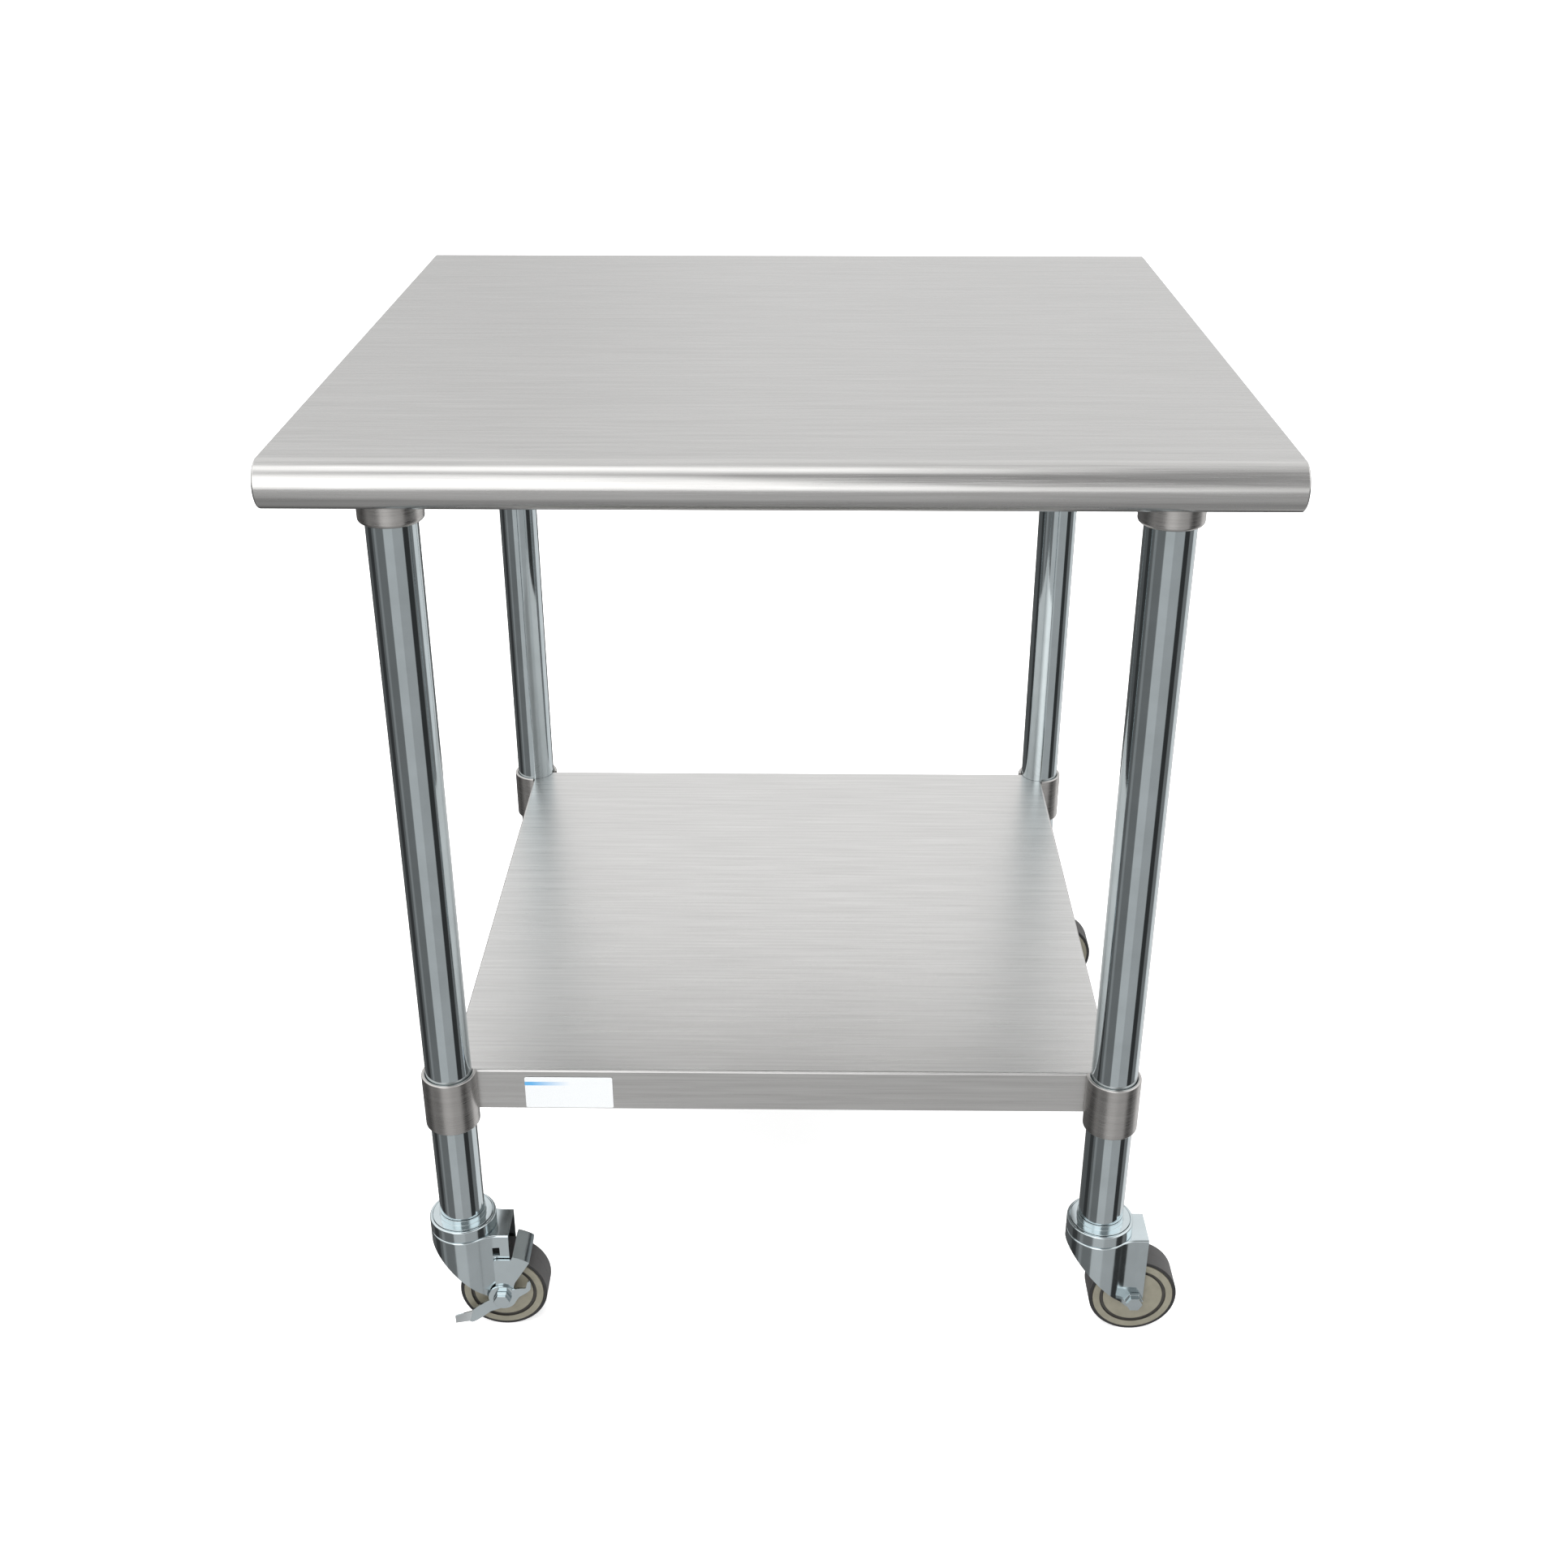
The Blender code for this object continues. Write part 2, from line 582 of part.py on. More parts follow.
def brake_shoe():
    """Plate against the near cheek, with a curved flange that stands over the tread."""
    axle = (TRAIL, WHEEL_RADIUS)
    top = 86.2 * MM
    left = 28.4 * MM
    corner = 2.6 * MM
    foot = arc(axle, 7 * MM, 215, 340, 8)
    rim = arc(axle, SHOE_RADIUS, SHOE_START, SHOE_END, 6)
    start = rim[-1][0] - 2.2 * MM
    outline = foot + [(46.6 * MM, 56.3 * MM)] + rim + [(start, top)]
    outline += arc((left + corner, top - corner), corner, 90, 180, 3)
    plate = prism(outline, -SHOE_INNER - SHOE_SHEET, -SHOE_INNER, "Y")
    inner_rim = arc(axle, SHOE_RADIUS - SHOE_SHEET, SHOE_END, SHOE_START, 6)
    flange = prism(rim + inner_rim, -SHOE_INNER - SHOE_SHEET / 2, SHOE_FAR, "Y")

    def far_corner(edge):
        ends = [vert.co for vert in edge.verts]
        at_far_end = all(abs(end.y - SHOE_FAR) < 1e-6 for end in ends)
        return at_far_end and abs((ends[0] - ends[1]).length - SHOE_SHEET) < 1e-5

    flange = round_edges(flange, far_corner, 5 * MM, 3)
    travel = math.radians((SHOE_START + SHOE_END) / 2)
    reach = (TRAIL + SHOE_TRAVEL * math.cos(travel), WHEEL_RADIUS + SHOE_TRAVEL * math.sin(travel))
    tilt = math.degrees(travel)
    slot = arc(reach, AXLE_RADIUS + GAP, tilt - 90, tilt + 90, 6)
    slot += arc(axle, AXLE_RADIUS + GAP, tilt + 90, tilt + 270, 6)
    slot_cut = prism(slot, -40 * MM, 0, "Y")
    return combine(combine(plate, [flange], "UNION"), [slot_cut])


def brake_lever():
    """Plate with a hub on the axle, a long arm to a foot pad, and a short release arm."""
    axle = (TRAIL, WHEEL_RADIUS)
    hub_top = arc(axle, LEVER_HUB, 196, 44, 12)
    release = [(50 * MM, 51.5 * MM), (56.6 * MM, 51.5 * MM), (58.6 * MM, 59.4 * MM), (60.2 * MM, 60.4 * MM),
               (61.8 * MM, 58.6 * MM), (61.4 * MM, 51 * MM), (58 * MM, 47 * MM), (50 * MM, 41.4 * MM)]
    hub_foot = arc(axle, LEVER_HUB, -20, -100, 6)
    crease_top = (4.4 * MM, 23.7 * MM)
    crease_foot = (1.2 * MM, 11.4 * MM)
    arm = [(22 * MM, 23.5 * MM), (15.2 * MM, 17.6 * MM), (8 * MM, 12 * MM), (3.6 * MM, 9.9 * MM),
           crease_foot, crease_top, (10.5 * MM, 29.2 * MM), (17.5 * MM, 34.2 * MM)]
    outline = hub_top + release + hub_foot + arm
    plate = prism(outline, -LEVER_INNER - LEVER_SHEET, -LEVER_INNER, "Y")
    bore = AXLE_RADIUS + GAP
    hole = turned([(0, 0), (bore, 0), (bore, 50 * MM), (0, 50 * MM)], SMALL_ROUND, "Y")
    hole = moved(hole, (TRAIL, 0, WHEEL_RADIUS))
    return combine(combine(plate, [foot_pad(crease_top, crease_foot)], "UNION"), [hole])


def foot_pad(crease_top, crease_foot):
    """Pad that carries on from the arm's end and turns outwards."""
    bend = math.radians(PAD_BEND)
    length = 14.5 * MM
    back = (-length * math.cos(bend), -length * math.sin(bend))
    thick = (-LEVER_SHEET * math.sin(bend), -LEVER_SHEET * math.cos(bend))
    face = -LEVER_INNER - LEVER_SHEET
    overlap = 0.8 * MM
    bm = bmesh.new()
    corners = []
    for crease, rise in ((crease_top, 0.0), (crease_foot, 2.6 * MM)):
        root_x = crease[0] + overlap
        far_x = crease[0] + back[0]
        far_z = crease[1] + rise
        corners.append([
            (root_x, face, crease[1]),
            (far_x, face + back[1], far_z),
            (far_x - thick[0], face + back[1] - thick[1], far_z),
            (root_x - thick[0], face - thick[1] * 0.9, crease[1]),
        ])
    top, foot = [[bm.verts.new(point) for point in ring] for ring in corners]
    bm.faces.new(top)
    bm.faces.new(reversed(foot))
    for i in range(4):
        j = (i + 1) % 4
        bm.faces.new((top[i], top[j], foot[j], foot[i]))
    bmesh.ops.recalc_face_normals(bm, faces=bm.faces)
    return bm


# ---------------------------------------------------------------- assembly


def leg_places():
    """Name and place of each leg."""
    places = []
    for side_y, word_y in ((-1, "front"), (1, "rear")):
        for side_x, word_x in ((-1, "left"), (1, "right")):
            y = LEG_CENTRE_Y + side_y * LEG_SPREAD
            places.append((word_y + "_" + word_x, side_x * LEG_SPREAD, y))
    return places


def build_top():
    place("table_top", to_mesh(table_top(), "table_top"), STAINLESS)
    channel = to_mesh(hat_channel(CHANNEL_DEPTH, CHANNEL_LENGTH, CHANNEL_FLOOR, CHANNEL_BRIM), "hat_channel")
    height = TOP_HEIGHT - SHEET - GAP
    for word, x in (("left", -LEG_SPREAD), ("centre", 0), ("right", LEG_SPREAD)):
        place("deck_channel_" + word, channel, GALVANISED, (x, 0, height))


def build_legs():
    tube = to_mesh(leg_tube(), "leg_tube")
    stem = to_mesh(caster_stem(), "caster_stem")
    screw = to_mesh(set_screw(), "set_screw")
    for name, x, y in leg_places():
        inward = math.atan2(-math.copysign(1, y - LEG_CENTRE_Y), -math.copysign(1, x))
        spot = (x, y, 0)
        place("leg_socket_" + name, to_mesh(leg_socket(inward), "leg_socket"), COLLAR_STEEL, spot)
        place("socket_screw_" + name, screw, DARK_STEEL, (x, y, SOCKET_SCREW_HEIGHT), None, inward)
        place("leg_tube_" + name, tube, PLATED, spot)
        place("caster_stem_" + name, stem, PLATED, spot)


def build_shelf():
    place("shelf_pan", to_mesh(shelf_pan(), "shelf_pan"), STAINLESS)
    length = SHELF_BACK - SHELF_FRONT - 2 * (SHEET + GAP)
    channel = hat_channel(SHELF_CHANNEL_DEPTH, length, SHELF_CHANNEL_FLOOR, SHELF_CHANNEL_BRIM)
    middle = (0, (SHELF_FRONT + SHELF_BACK) / 2, SHELF_TOP - SHEET - GAP)
    place("shelf_channel", to_mesh(channel, "shelf_channel"), GALVANISED, middle)
    place("label_plate", to_mesh(label_plate(), "label_plate"), LABEL)
    screw = to_mesh(set_screw(), "collar_screw")
    for name, x, y in leg_places():
        inward = math.atan2(-math.copysign(1, y - LEG_CENTRE_Y), -math.copysign(1, x))
        collar = to_mesh(shelf_collar(x, y, inward), "shelf_collar")
        place("shelf_collar_" + name, collar, COLLAR_STEEL, (x, y, 0))
        place("collar_screw_" + name, screw, DARK_STEEL, (x, y, COLLAR_SCREW_HEIGHT), None, inward)


def build_casters():
    cap = to_mesh(bearing_cap(), "bearing_cap")
    forks = {brake: to_mesh(fork(brake), "fork") for brake in (False, True)}
    bolts = {False: to_mesh(bolt(FORK_HALF_WIDTH + GAP, HEX_FACE), "bolt"),
             True: to_mesh(bolt(LEVER_INNER + LEVER_SHEET + GAP, BRAKE_HEX_FACE), "bolt")}
    lock_nut = to_mesh(nut(), "nut")
    hub = to_mesh(wheel_hub(), "hub")
    tyre = to_mesh(wheel_tyre(), "tyre")
    shoe = to_mesh(brake_shoe(), "shoe")
    lever = to_mesh(brake_lever(), "lever")
    for name, x, y in leg_places():
        braked = name.endswith("left")
        swivel = pivot("swivel_axis_" + name, (x, y, 0))
        axle = pivot("axle_axis_" + name, (TRAIL, 0, WHEEL_RADIUS), swivel)
        place("bearing_cap_" + name, cap, PLATED, (0, 0, 0), swivel)
        place("fork_" + name, forks[braked], PLATED, (0, 0, 0), swivel)
        place("axle_bolt_" + name, bolts[braked], PLATED, (0, 0, 0), axle)
        place("axle_nut_" + name, lock_nut, PLATED, (0, 0, 0), axle)
        place("wheel_hub_" + name, hub, POLYMER, (0, 0, 0), axle)
        place("wheel_tyre_" + name, tyre, RUBBER, (0, 0, 0), axle)
        if braked:
            place("brake_shoe_" + name, shoe, PLATED, (0, 0, 0), swivel)
            place("brake_lever_" + name, lever, PLATED, (0, 0, 0), swivel)


def main():
    clear_scene()
    build_top()
    build_legs()
    build_shelf()
    build_casters()


main()
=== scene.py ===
"""Looks of the stainless work table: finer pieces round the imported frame, materials, light and camera.

Everything is in metres in the frame of the CAD model: +X right, +Y back, +Z up, floor at z = 0.
"""

import math

import bmesh
import bpy
from mathutils import Matrix, Vector


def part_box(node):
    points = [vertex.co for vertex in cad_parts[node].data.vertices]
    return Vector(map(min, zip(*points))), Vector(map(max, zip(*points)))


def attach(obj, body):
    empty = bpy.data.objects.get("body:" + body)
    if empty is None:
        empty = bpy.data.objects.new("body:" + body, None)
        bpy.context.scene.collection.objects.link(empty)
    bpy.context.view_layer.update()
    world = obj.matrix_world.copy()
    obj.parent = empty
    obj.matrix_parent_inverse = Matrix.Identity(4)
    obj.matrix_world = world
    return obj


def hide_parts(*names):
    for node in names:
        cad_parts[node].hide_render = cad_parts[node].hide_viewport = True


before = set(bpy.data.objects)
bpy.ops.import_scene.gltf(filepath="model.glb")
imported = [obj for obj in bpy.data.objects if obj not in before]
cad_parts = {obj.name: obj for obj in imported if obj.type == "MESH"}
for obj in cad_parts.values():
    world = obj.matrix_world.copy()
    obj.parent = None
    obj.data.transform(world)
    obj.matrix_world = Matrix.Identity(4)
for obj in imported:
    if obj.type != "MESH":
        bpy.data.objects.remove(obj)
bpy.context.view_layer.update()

MM = 0.001
GAP = 0.3 * MM  # clearance between pieces that fit into each other
PAST = 40 * MM  # how far a cutter reaches past what it cuts
LEGS = ("front_left", "front_right", "rear_left", "rear_right")
BRAKED = ("front_left", "rear_left")

# Table top
ROLL_RADIUS = 19.05 * MM
SHEET = 1.5 * MM
RETURN_LIP = 14 * MM
ROLL_LIP = 4 * MM
EDGE_ROUND = 1.6 * MM
CHANNEL_FOLD = 1.6 * MM
DECK_CHANNEL_FLOOR = 50 * MM
SHELF_CHANNEL_FLOOR = 60 * MM

# Sleeves
BORE = 20.55 * MM
SOCKET_RADIUS = 25.35 * MM
SOCKET_FLANGE = 2.5 * MM
SOCKET_ROOF = 3.5 * MM
SOCKET_MOUTH = 3 * MM
COLLAR_RADIUS = 23.95 * MM
COLLAR_RIM = 1.2 * MM
COLLAR_ROUND = 1.5 * MM
COLLAR_BITE = 0.2 * MM  # how far the shelf's corner reaches into its collar
SCREW_RADIUS = 3 * MM
SCREW_LENGTH = 6.5 * MM
KEY_RADIUS = 1.7 * MM
KEY_DEPTH = 3 * MM

# Tube
TUBE_RADIUS = 20.25 * MM
TUBE_WALL = 1.5 * MM
TUBE_ROUND = 0.5 * MM

# Undershelf
SHELF_HEM = 10 * MM
SHELF_FOLD = 2.4 * MM
LABEL_CORNER = 1.5 * MM

# Casters
DISC_RADIUS = 27.2 * MM
DISC_FOOT = 120 * MM
RING_RADIUS = 21.2 * MM
RING_HEIGHT = 5 * MM
KING_HEAD_RADIUS = 9 * MM
KING_HEAD_TOP = 106.7 * MM
CAP_RIM = 1.5 * MM
CAP_FLOOR = 119.6 * MM
FORK_TOP = 110 * MM
FORK_ROOF = 3 * MM
FORK_RADIUS = 30.2 * MM
FORK_SHEET = 2.5 * MM
FORK_HALF_WIDTH = 19.3 * MM
FORK_REACH = 43.2 * MM
FORK_FILLET = 30 * MM
FORK_SLOPE = 1.13
TIP_RADIUS = 9 * MM
TIP_HEIGHT = 39 * MM
SPINDLE_RADIUS = 6 * MM
AXLE_RADIUS = 4 * MM
HEX_RADIUS = 7.7 * MM
WASHER_RADIUS = 9.5 * MM
WASHER_SHEET = 1.6 * MM
NUT_HEIGHT = 6 * MM
PLAIN_BOLT = (27.5 * MM, 9.1 * MM, 2.8 * MM)  # the head's face, the collar's radius and height
BRAKE_BOLT = (30.6 * MM, 8.5 * MM, 2.4 * MM)
SLOT_LOW = (28.1 * MM, 87.2 * MM)  # corners of the slot in a braked fork's cheek, as x and z
SLOT_HIGH = (34.5 * MM, 96.2 * MM)
HUB_HALF_WIDTH = 15.75 * MM
HUB_RADIUS = 37 * MM
HUB_FACE = 15.3 * MM
BOSS_RADIUS = 9 * MM
BOSS_HALF_WIDTH = 16.4 * MM
GROOVE_INNER = 27.5 * MM
GROOVE_OUTER = 30.6 * MM
GROOVE_DEPTH = 2 * MM
TYRE_BORE = 37.3 * MM
TYRE_HALF_WIDTH = 15 * MM
TYRE_SHOULDER = 1.1 * MM

# Brake
SHOE_INNER = 20.4 * MM
SHOE_FACE = 22 * MM
SHOE_SHEET = 2 * MM
SHOE_RADIUS = 48.2 * MM
SHOE_START = 56
SHOE_END = 76
SHOE_FAR = 17 * MM
SHOE_TOP = 83.4 * MM
SHOE_LEFT = 28.4 * MM
SHOE_CORNER = 2.6 * MM
FLANGE_CORNER = 6.5 * MM
SHOE_TRAVEL = 4.6 * MM
LEVER_INNER = 22.3 * MM
LEVER_SHEET = 2.1 * MM
LEVER_HUB = 13 * MM
PAD_BEND = 27
PAD_LENGTH = 14.5 * MM

FINE = 96  # sides of the round pieces
SAME = 1e-6  # metres within which two places are the same
MERGE = 5e-6  # metres within which a boolean's leftover points are merged


# ---------------------------------------------------------------- mesh helpers


def arc(centre, radius, start, end, steps):
    """Points on an arc in a plane, from start to end in degrees."""
    points = []
    for step in range(steps + 1):
        angle = math.radians(start + (end - start) * step / steps)
        points.append((centre[0] + radius * math.cos(angle), centre[1] + radius * math.sin(angle)))
    return points


def prism(outline, low, high, axis):
    """A closed prism. The outline lies in YZ, XZ or XY for an axis of X, Y or Z."""
    order = {"X": (2, 0, 1), "Y": (0, 2, 1), "Z": (0, 1, 2)}[axis]
    bm = bmesh.new()
    ends = []
    for level in (low, high):
        ring = []
        for a, b in outline:
            values = (a, b, level)
            ring.append(bm.verts.new([values[i] for i in order]))
        ends.append(ring)
        bm.faces.new(ring)
    count = len(outline)
    for i in range(count):
        j = (i + 1) % count
        bm.faces.new((ends[0][i], ends[0][j], ends[1][j], ends[1][i]))
    bmesh.ops.recalc_face_normals(bm, faces=bm.faces)
    return bm


def block(low, high):
    """A box between two corners."""
    outline = [(low[0], low[1]), (high[0], low[1]), (high[0], high[1]), (low[0], high[1])]
    return prism(outline, low[2], high[2], "Z")


def turned(profile, segments=FINE, axis="Z"):
    """Turns a closed profile of (radius, height) points round an axis. Radius 0 is a point on it."""
    bm = bmesh.new()
    rings = []
    for radius, height in profile:
        ring = []
        for step in range(segments if radius > 0 else 1):
            angle = 2 * math.pi * step / segments
            ring.append(bm.verts.new((radius * math.cos(angle), radius * math.sin(angle), height)))
        rings.append(ring)
    for first, second in zip(rings, rings[1:] + rings[:1]):
        if len(first) == 1 and len(second) == 1:
            continue
        for i in range(segments):
            j = (i + 1) % segments
            corners = []
            for vert in (first[i % len(first)], first[j % len(first)],
                         second[j % len(second)], second[i % len(second)]):
                if vert not in corners:
                    corners.append(vert)
            bm.faces.new(corners)
    if axis == "Y":
        bmesh.ops.rotate(bm, verts=bm.verts, matrix=Matrix.Rotation(math.radians(90), 3, "X"))
    bmesh.ops.recalc_face_normals(bm, faces=bm.faces)
    return bm


def rod(radius, start, end, sides=FINE, axis="Z"):
    """A closed round rod on an axis, between two heights."""
    return turned([(0, start), (radius, start), (radius, end), (0, end)], sides, axis)


def moved(bm, offset, turn=0.0):
    """Turns a bmesh about Z, then moves it."""
    bmesh.ops.rotate(bm, verts=bm.verts, matrix=Matrix.Rotation(turn, 3, "Z"))
    bmesh.ops.translate(bm, verts=bm.verts, vec=Vector(offset))
    return bm


def rounded(profile, radius, steps=4):
    """Rounds every sharp corner of a closed profile whose radius is above 0."""
    result = []
    count = len(profile)
    for i, corner in enumerate(profile):
        here = Vector(corner)
        before = Vector(profile[i - 1]) - here
        after = Vector(profile[(i + 1) % count]) - here
        on_axis = corner[0] == 0
        straight = abs(before.normalized().cross(after.normalized())) < 0.2
        reach = min(radius, before.length * 0.45, after.length * 0.45)
        if on_axis or straight or reach < 0.02 * MM:
            result.append(corner)
            continue
        start = here + before.normalized() * reach
        end = here + after.normalized() * reach
        for step in range(steps + 1):
            t = step / steps
            point = start * (1 - t) ** 2 + here * 2 * t * (1 - t) + end * t ** 2
            result.append((point.x, point.y))
    return result


def scratch(bm):
    """Puts a bmesh into an object of its own, and frees the bmesh."""
    mesh = bpy.data.meshes.new("scratch")
    bm.to_mesh(mesh)
    bm.free()
    obj = bpy.data.objects.new("scratch", mesh)
    bpy.context.scene.collection.objects.link(obj)
    return obj


def discard(obj):
    """Removes an object and its mesh."""
    data = obj.data
    bpy.data.objects.remove(obj, do_unlink=True)
    bpy.data.meshes.remove(data)


def combine(base, tools, operation="DIFFERENCE"):
    """Applies exact booleans of the tools to the base, and gives the result as a bmesh."""
    body = scratch(base)
    helpers = [scratch(tool) for tool in tools]
    for helper in helpers:
        cut = body.modifiers.new("cut", "BOOLEAN")
        cut.operation = operation
        cut.solver = "EXACT"
        cut.object = helper
    result = evaluated(body)
    for obj in [body] + helpers:
        discard(obj)
    bmesh.ops.remove_doubles(result, verts=result.verts, dist=MERGE)
    bmesh.ops.dissolve_limit(result, angle_limit=math.radians(0.3), verts=result.verts, edges=result.edges)
    return result


def evaluated(obj):
    """The mesh of an object with its modifiers applied, as a bmesh."""
    depsgraph = bpy.context.evaluated_depsgraph_get()
    mesh = bpy.data.meshes.new_from_object(obj.evaluated_get(depsgraph))
    result = bmesh.new()
    result.from_mesh(mesh)
    bpy.data.meshes.remove(mesh)
    return result


def soften(bm, width, angle=35, segments=2):
    """Rounds the sharp edges of a bmesh by a small width."""
    obj = scratch(bm)
    bevel = obj.modifiers.new("bevel", "BEVEL")
    bevel.limit_method = "ANGLE"
    bevel.angle_limit = math.radians(angle)
    bevel.width = width
    bevel.segments = segments
    bevel.miter_outer = "MITER_ARC"
    result = evaluated(obj)
    discard(obj)
    return result


def round_edges(bm, chosen, radius, steps):
    """Rounds the edges for which chosen(edge) is true."""
    edges = [edge for edge in bm.edges if chosen(edge)]
    bmesh.ops.bevel(bm, geom=edges, offset=radius, segments=steps, profile=0.5, affect="EDGES")
    return bm


def painted(bm, pick):
    """Gives every face the material number that pick(face) says."""
    for face in bm.faces:
        face.normal_update()
        face.material_index = pick(face)
    return bm


def piece(bm, node, body, slot, materials, sharp=30):
    """Makes the shown piece that stands for a CAD node and moves with its body."""
    bmesh.ops.recalc_face_normals(bm, faces=bm.faces)
    mesh = bpy.data.meshes.new(node + "_skin")
    bm.to_mesh(mesh)
    bm.free()
    for mat in materials:
        mesh.materials.append(mat)
    mesh.shade_smooth()
    mesh.set_sharp_from_angle(angle=math.radians(sharp))
    obj = bpy.data.objects.new(node + "_skin", mesh)
    bpy.context.scene.collection.objects.link(obj)
    weighted = obj.modifiers.new("normals", "WEIGHTED_NORMAL")
    weighted.keep_sharp = True
    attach(obj, body)
    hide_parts(node)
    return obj


# ---------------------------------------------------------------- material helpers


class Nodes:
    """Builds a Principled material from small steps."""

    def __init__(self, name):
        self.mat = bpy.data.materials.new(name)
        self.mat.use_nodes = True
        self.tree = self.mat.node_tree
        self.shader = self.tree.nodes["Principled BSDF"]
        self.coords = self.tree.nodes.new("ShaderNodeTexCoord").outputs["Object"]

    def new(self, kind):
        return self.tree.nodes.new(kind)

    def link(self, source, target):
        self.tree.links.new(source, target)

    def scaled(self, scale):
        """Object coordinates in metres, multiplied by a scale per axis."""
        mapping = self.new("ShaderNodeMapping")
        mapping.inputs["Scale"].default_value = scale
        self.link(self.coords, mapping.inputs["Vector"])
        return mapping.outputs["Vector"]

    def noise(self, scale, detail=3, rough=0.55):
        """Noise whose cells repeat the given number of times a metre along each axis."""
        noise = self.new("ShaderNodeTexNoise")
        noise.inputs["Scale"].default_value = 1
        noise.inputs["Detail"].default_value = detail
        noise.inputs["Roughness"].default_value = rough
        self.link(self.scaled(scale), noise.inputs["Vector"])
        return noise.outputs["Fac"]

    def span(self, value, low, high, start=0.3, end=0.7):
        """Maps a 0 to 1 value from start..end to low..high."""
        change = self.new("ShaderNodeMapRange")
        change.inputs["From Min"].default_value = start
        change.inputs["From Max"].default_value = end
        change.inputs["To Min"].default_value = low
        change.inputs["To Max"].default_value = high
        self.link(value, change.inputs["Value"])
        return change.outputs["Result"]

    def math(self, operation, first, second):
        node = self.new("ShaderNodeMath")
        node.operation = operation
        for socket, value in zip(node.inputs, (first, second)):
            if isinstance(value, (int, float)):
                socket.default_value = value
            else:
                self.link(value, socket)
        return node.outputs["Value"]

    def mix(self, factor, first, second):
        """Mixes two colours, each a colour or a socket."""
        colour_a, colour_b, colour_result = 6, 7, 2  # by number, because several sockets share a name
        mix = self.new("ShaderNodeMix")
        mix.data_type = "RGBA"
        self.link(factor, mix.inputs["Factor"])
        for socket, value in ((mix.inputs[colour_a], first), (mix.inputs[colour_b], second)):
            if isinstance(value, tuple):
                socket.default_value = (*value, 1)
            else:
                self.link(value, socket)
        return mix.outputs[colour_result]

    def finish(self, colour, roughness, heights=(), metallic=1.0):
        """Links colour and roughness, and adds one bump for each (height, strength, depth)."""
        self.link(colour, self.shader.inputs["Base Color"])
        self.link(roughness, self.shader.inputs["Roughness"])
        self.shader.inputs["Metallic"].default_value = metallic
        normal = None
        for height, strength, depth in heights:
            bump = self.new("ShaderNodeBump")
            bump.inputs["Strength"].default_value = strength
            bump.inputs["Distance"].default_value = depth
            self.link(height, bump.inputs["Height"])
            if normal:
                self.link(normal, bump.inputs["Normal"])
            normal = bump.outputs["Normal"]
        if normal:
            self.link(normal, self.shader.inputs["Normal"])
        return self.mat


def brushed(name, light, dark, rough, fine, broad, grain=0.35, wave=0.0, metallic=1.0):
    """Brushed metal. fine and broad are the streaks' frequencies along X, Y and Z."""
    n = Nodes(name)
    lines = n.noise(fine, 4, 0.6)
    bands = n.noise(broad, 3, 0.5)
    tone = n.math("ADD", n.math("MULTIPLY", lines, 0.45), n.math("MULTIPLY", bands, 0.55))
    colour = n.mix(n.span(tone, 0, 1, 0.36, 0.64), dark, light)
    roughness = n.span(lines, rough - 0.06, rough + 0.08)
    heights = [(lines, grain, 0.05 * MM)]
    if wave:
        heights.append((n.noise((5, 5, 5), 2), wave, 3 * MM))
    return n.finish(colour, roughness, heights, metallic)


def plated(name, light, dark, rough, smear=0.02):
    """Bright plated or polished metal with faint clouds and fine scratches."""
    n = Nodes(name)
    clouds = n.noise((38, 38, 38), 3)
    scratches = n.noise((1800, 1800, 240), 2)
    colour = n.mix(n.span(clouds, 0, 1), dark, light)
    marks = n.math("ADD", n.math("MULTIPLY", clouds, 0.6), n.math("MULTIPLY", scratches, 0.4))
    roughness = n.span(marks, rough * 0.6, rough * 1.5)
    return n.finish(colour, roughness, [(clouds, smear, 2 * MM), (scratches, 0.03, 0.02 * MM)])


def rubber(name, light, dark):
    """Rubber with a fine moulded texture and a little floor dust."""
    n = Nodes(name)
    pores = n.noise((1400, 1400, 1400), 3)
    dust = n.noise((60, 60, 60), 4, 0.65)
    colour = n.mix(n.span(dust, 0, 1, 0.35, 0.72), dark, light)
    roughness = n.span(dust, 0.42, 0.62)
    return n.finish(colour, roughness, [(pores, 0.12, 0.08 * MM)], metallic=0.0)


def polymer(name, light, dark, rough):
    """Moulded polymer with soft mottling and a faint orange peel."""
    n = Nodes(name)
    mottle = n.noise((90, 90, 90), 4, 0.6)
    peel = n.noise((900, 900, 900), 2)
    colour = n.mix(n.span(mottle, 0, 1, 0.3, 0.7), dark, light)
    roughness = n.span(mottle, rough - 0.05, rough + 0.1)
    return n.finish(colour, roughness, [(peel, 0.06, 0.05 * MM)], metallic=0.0)


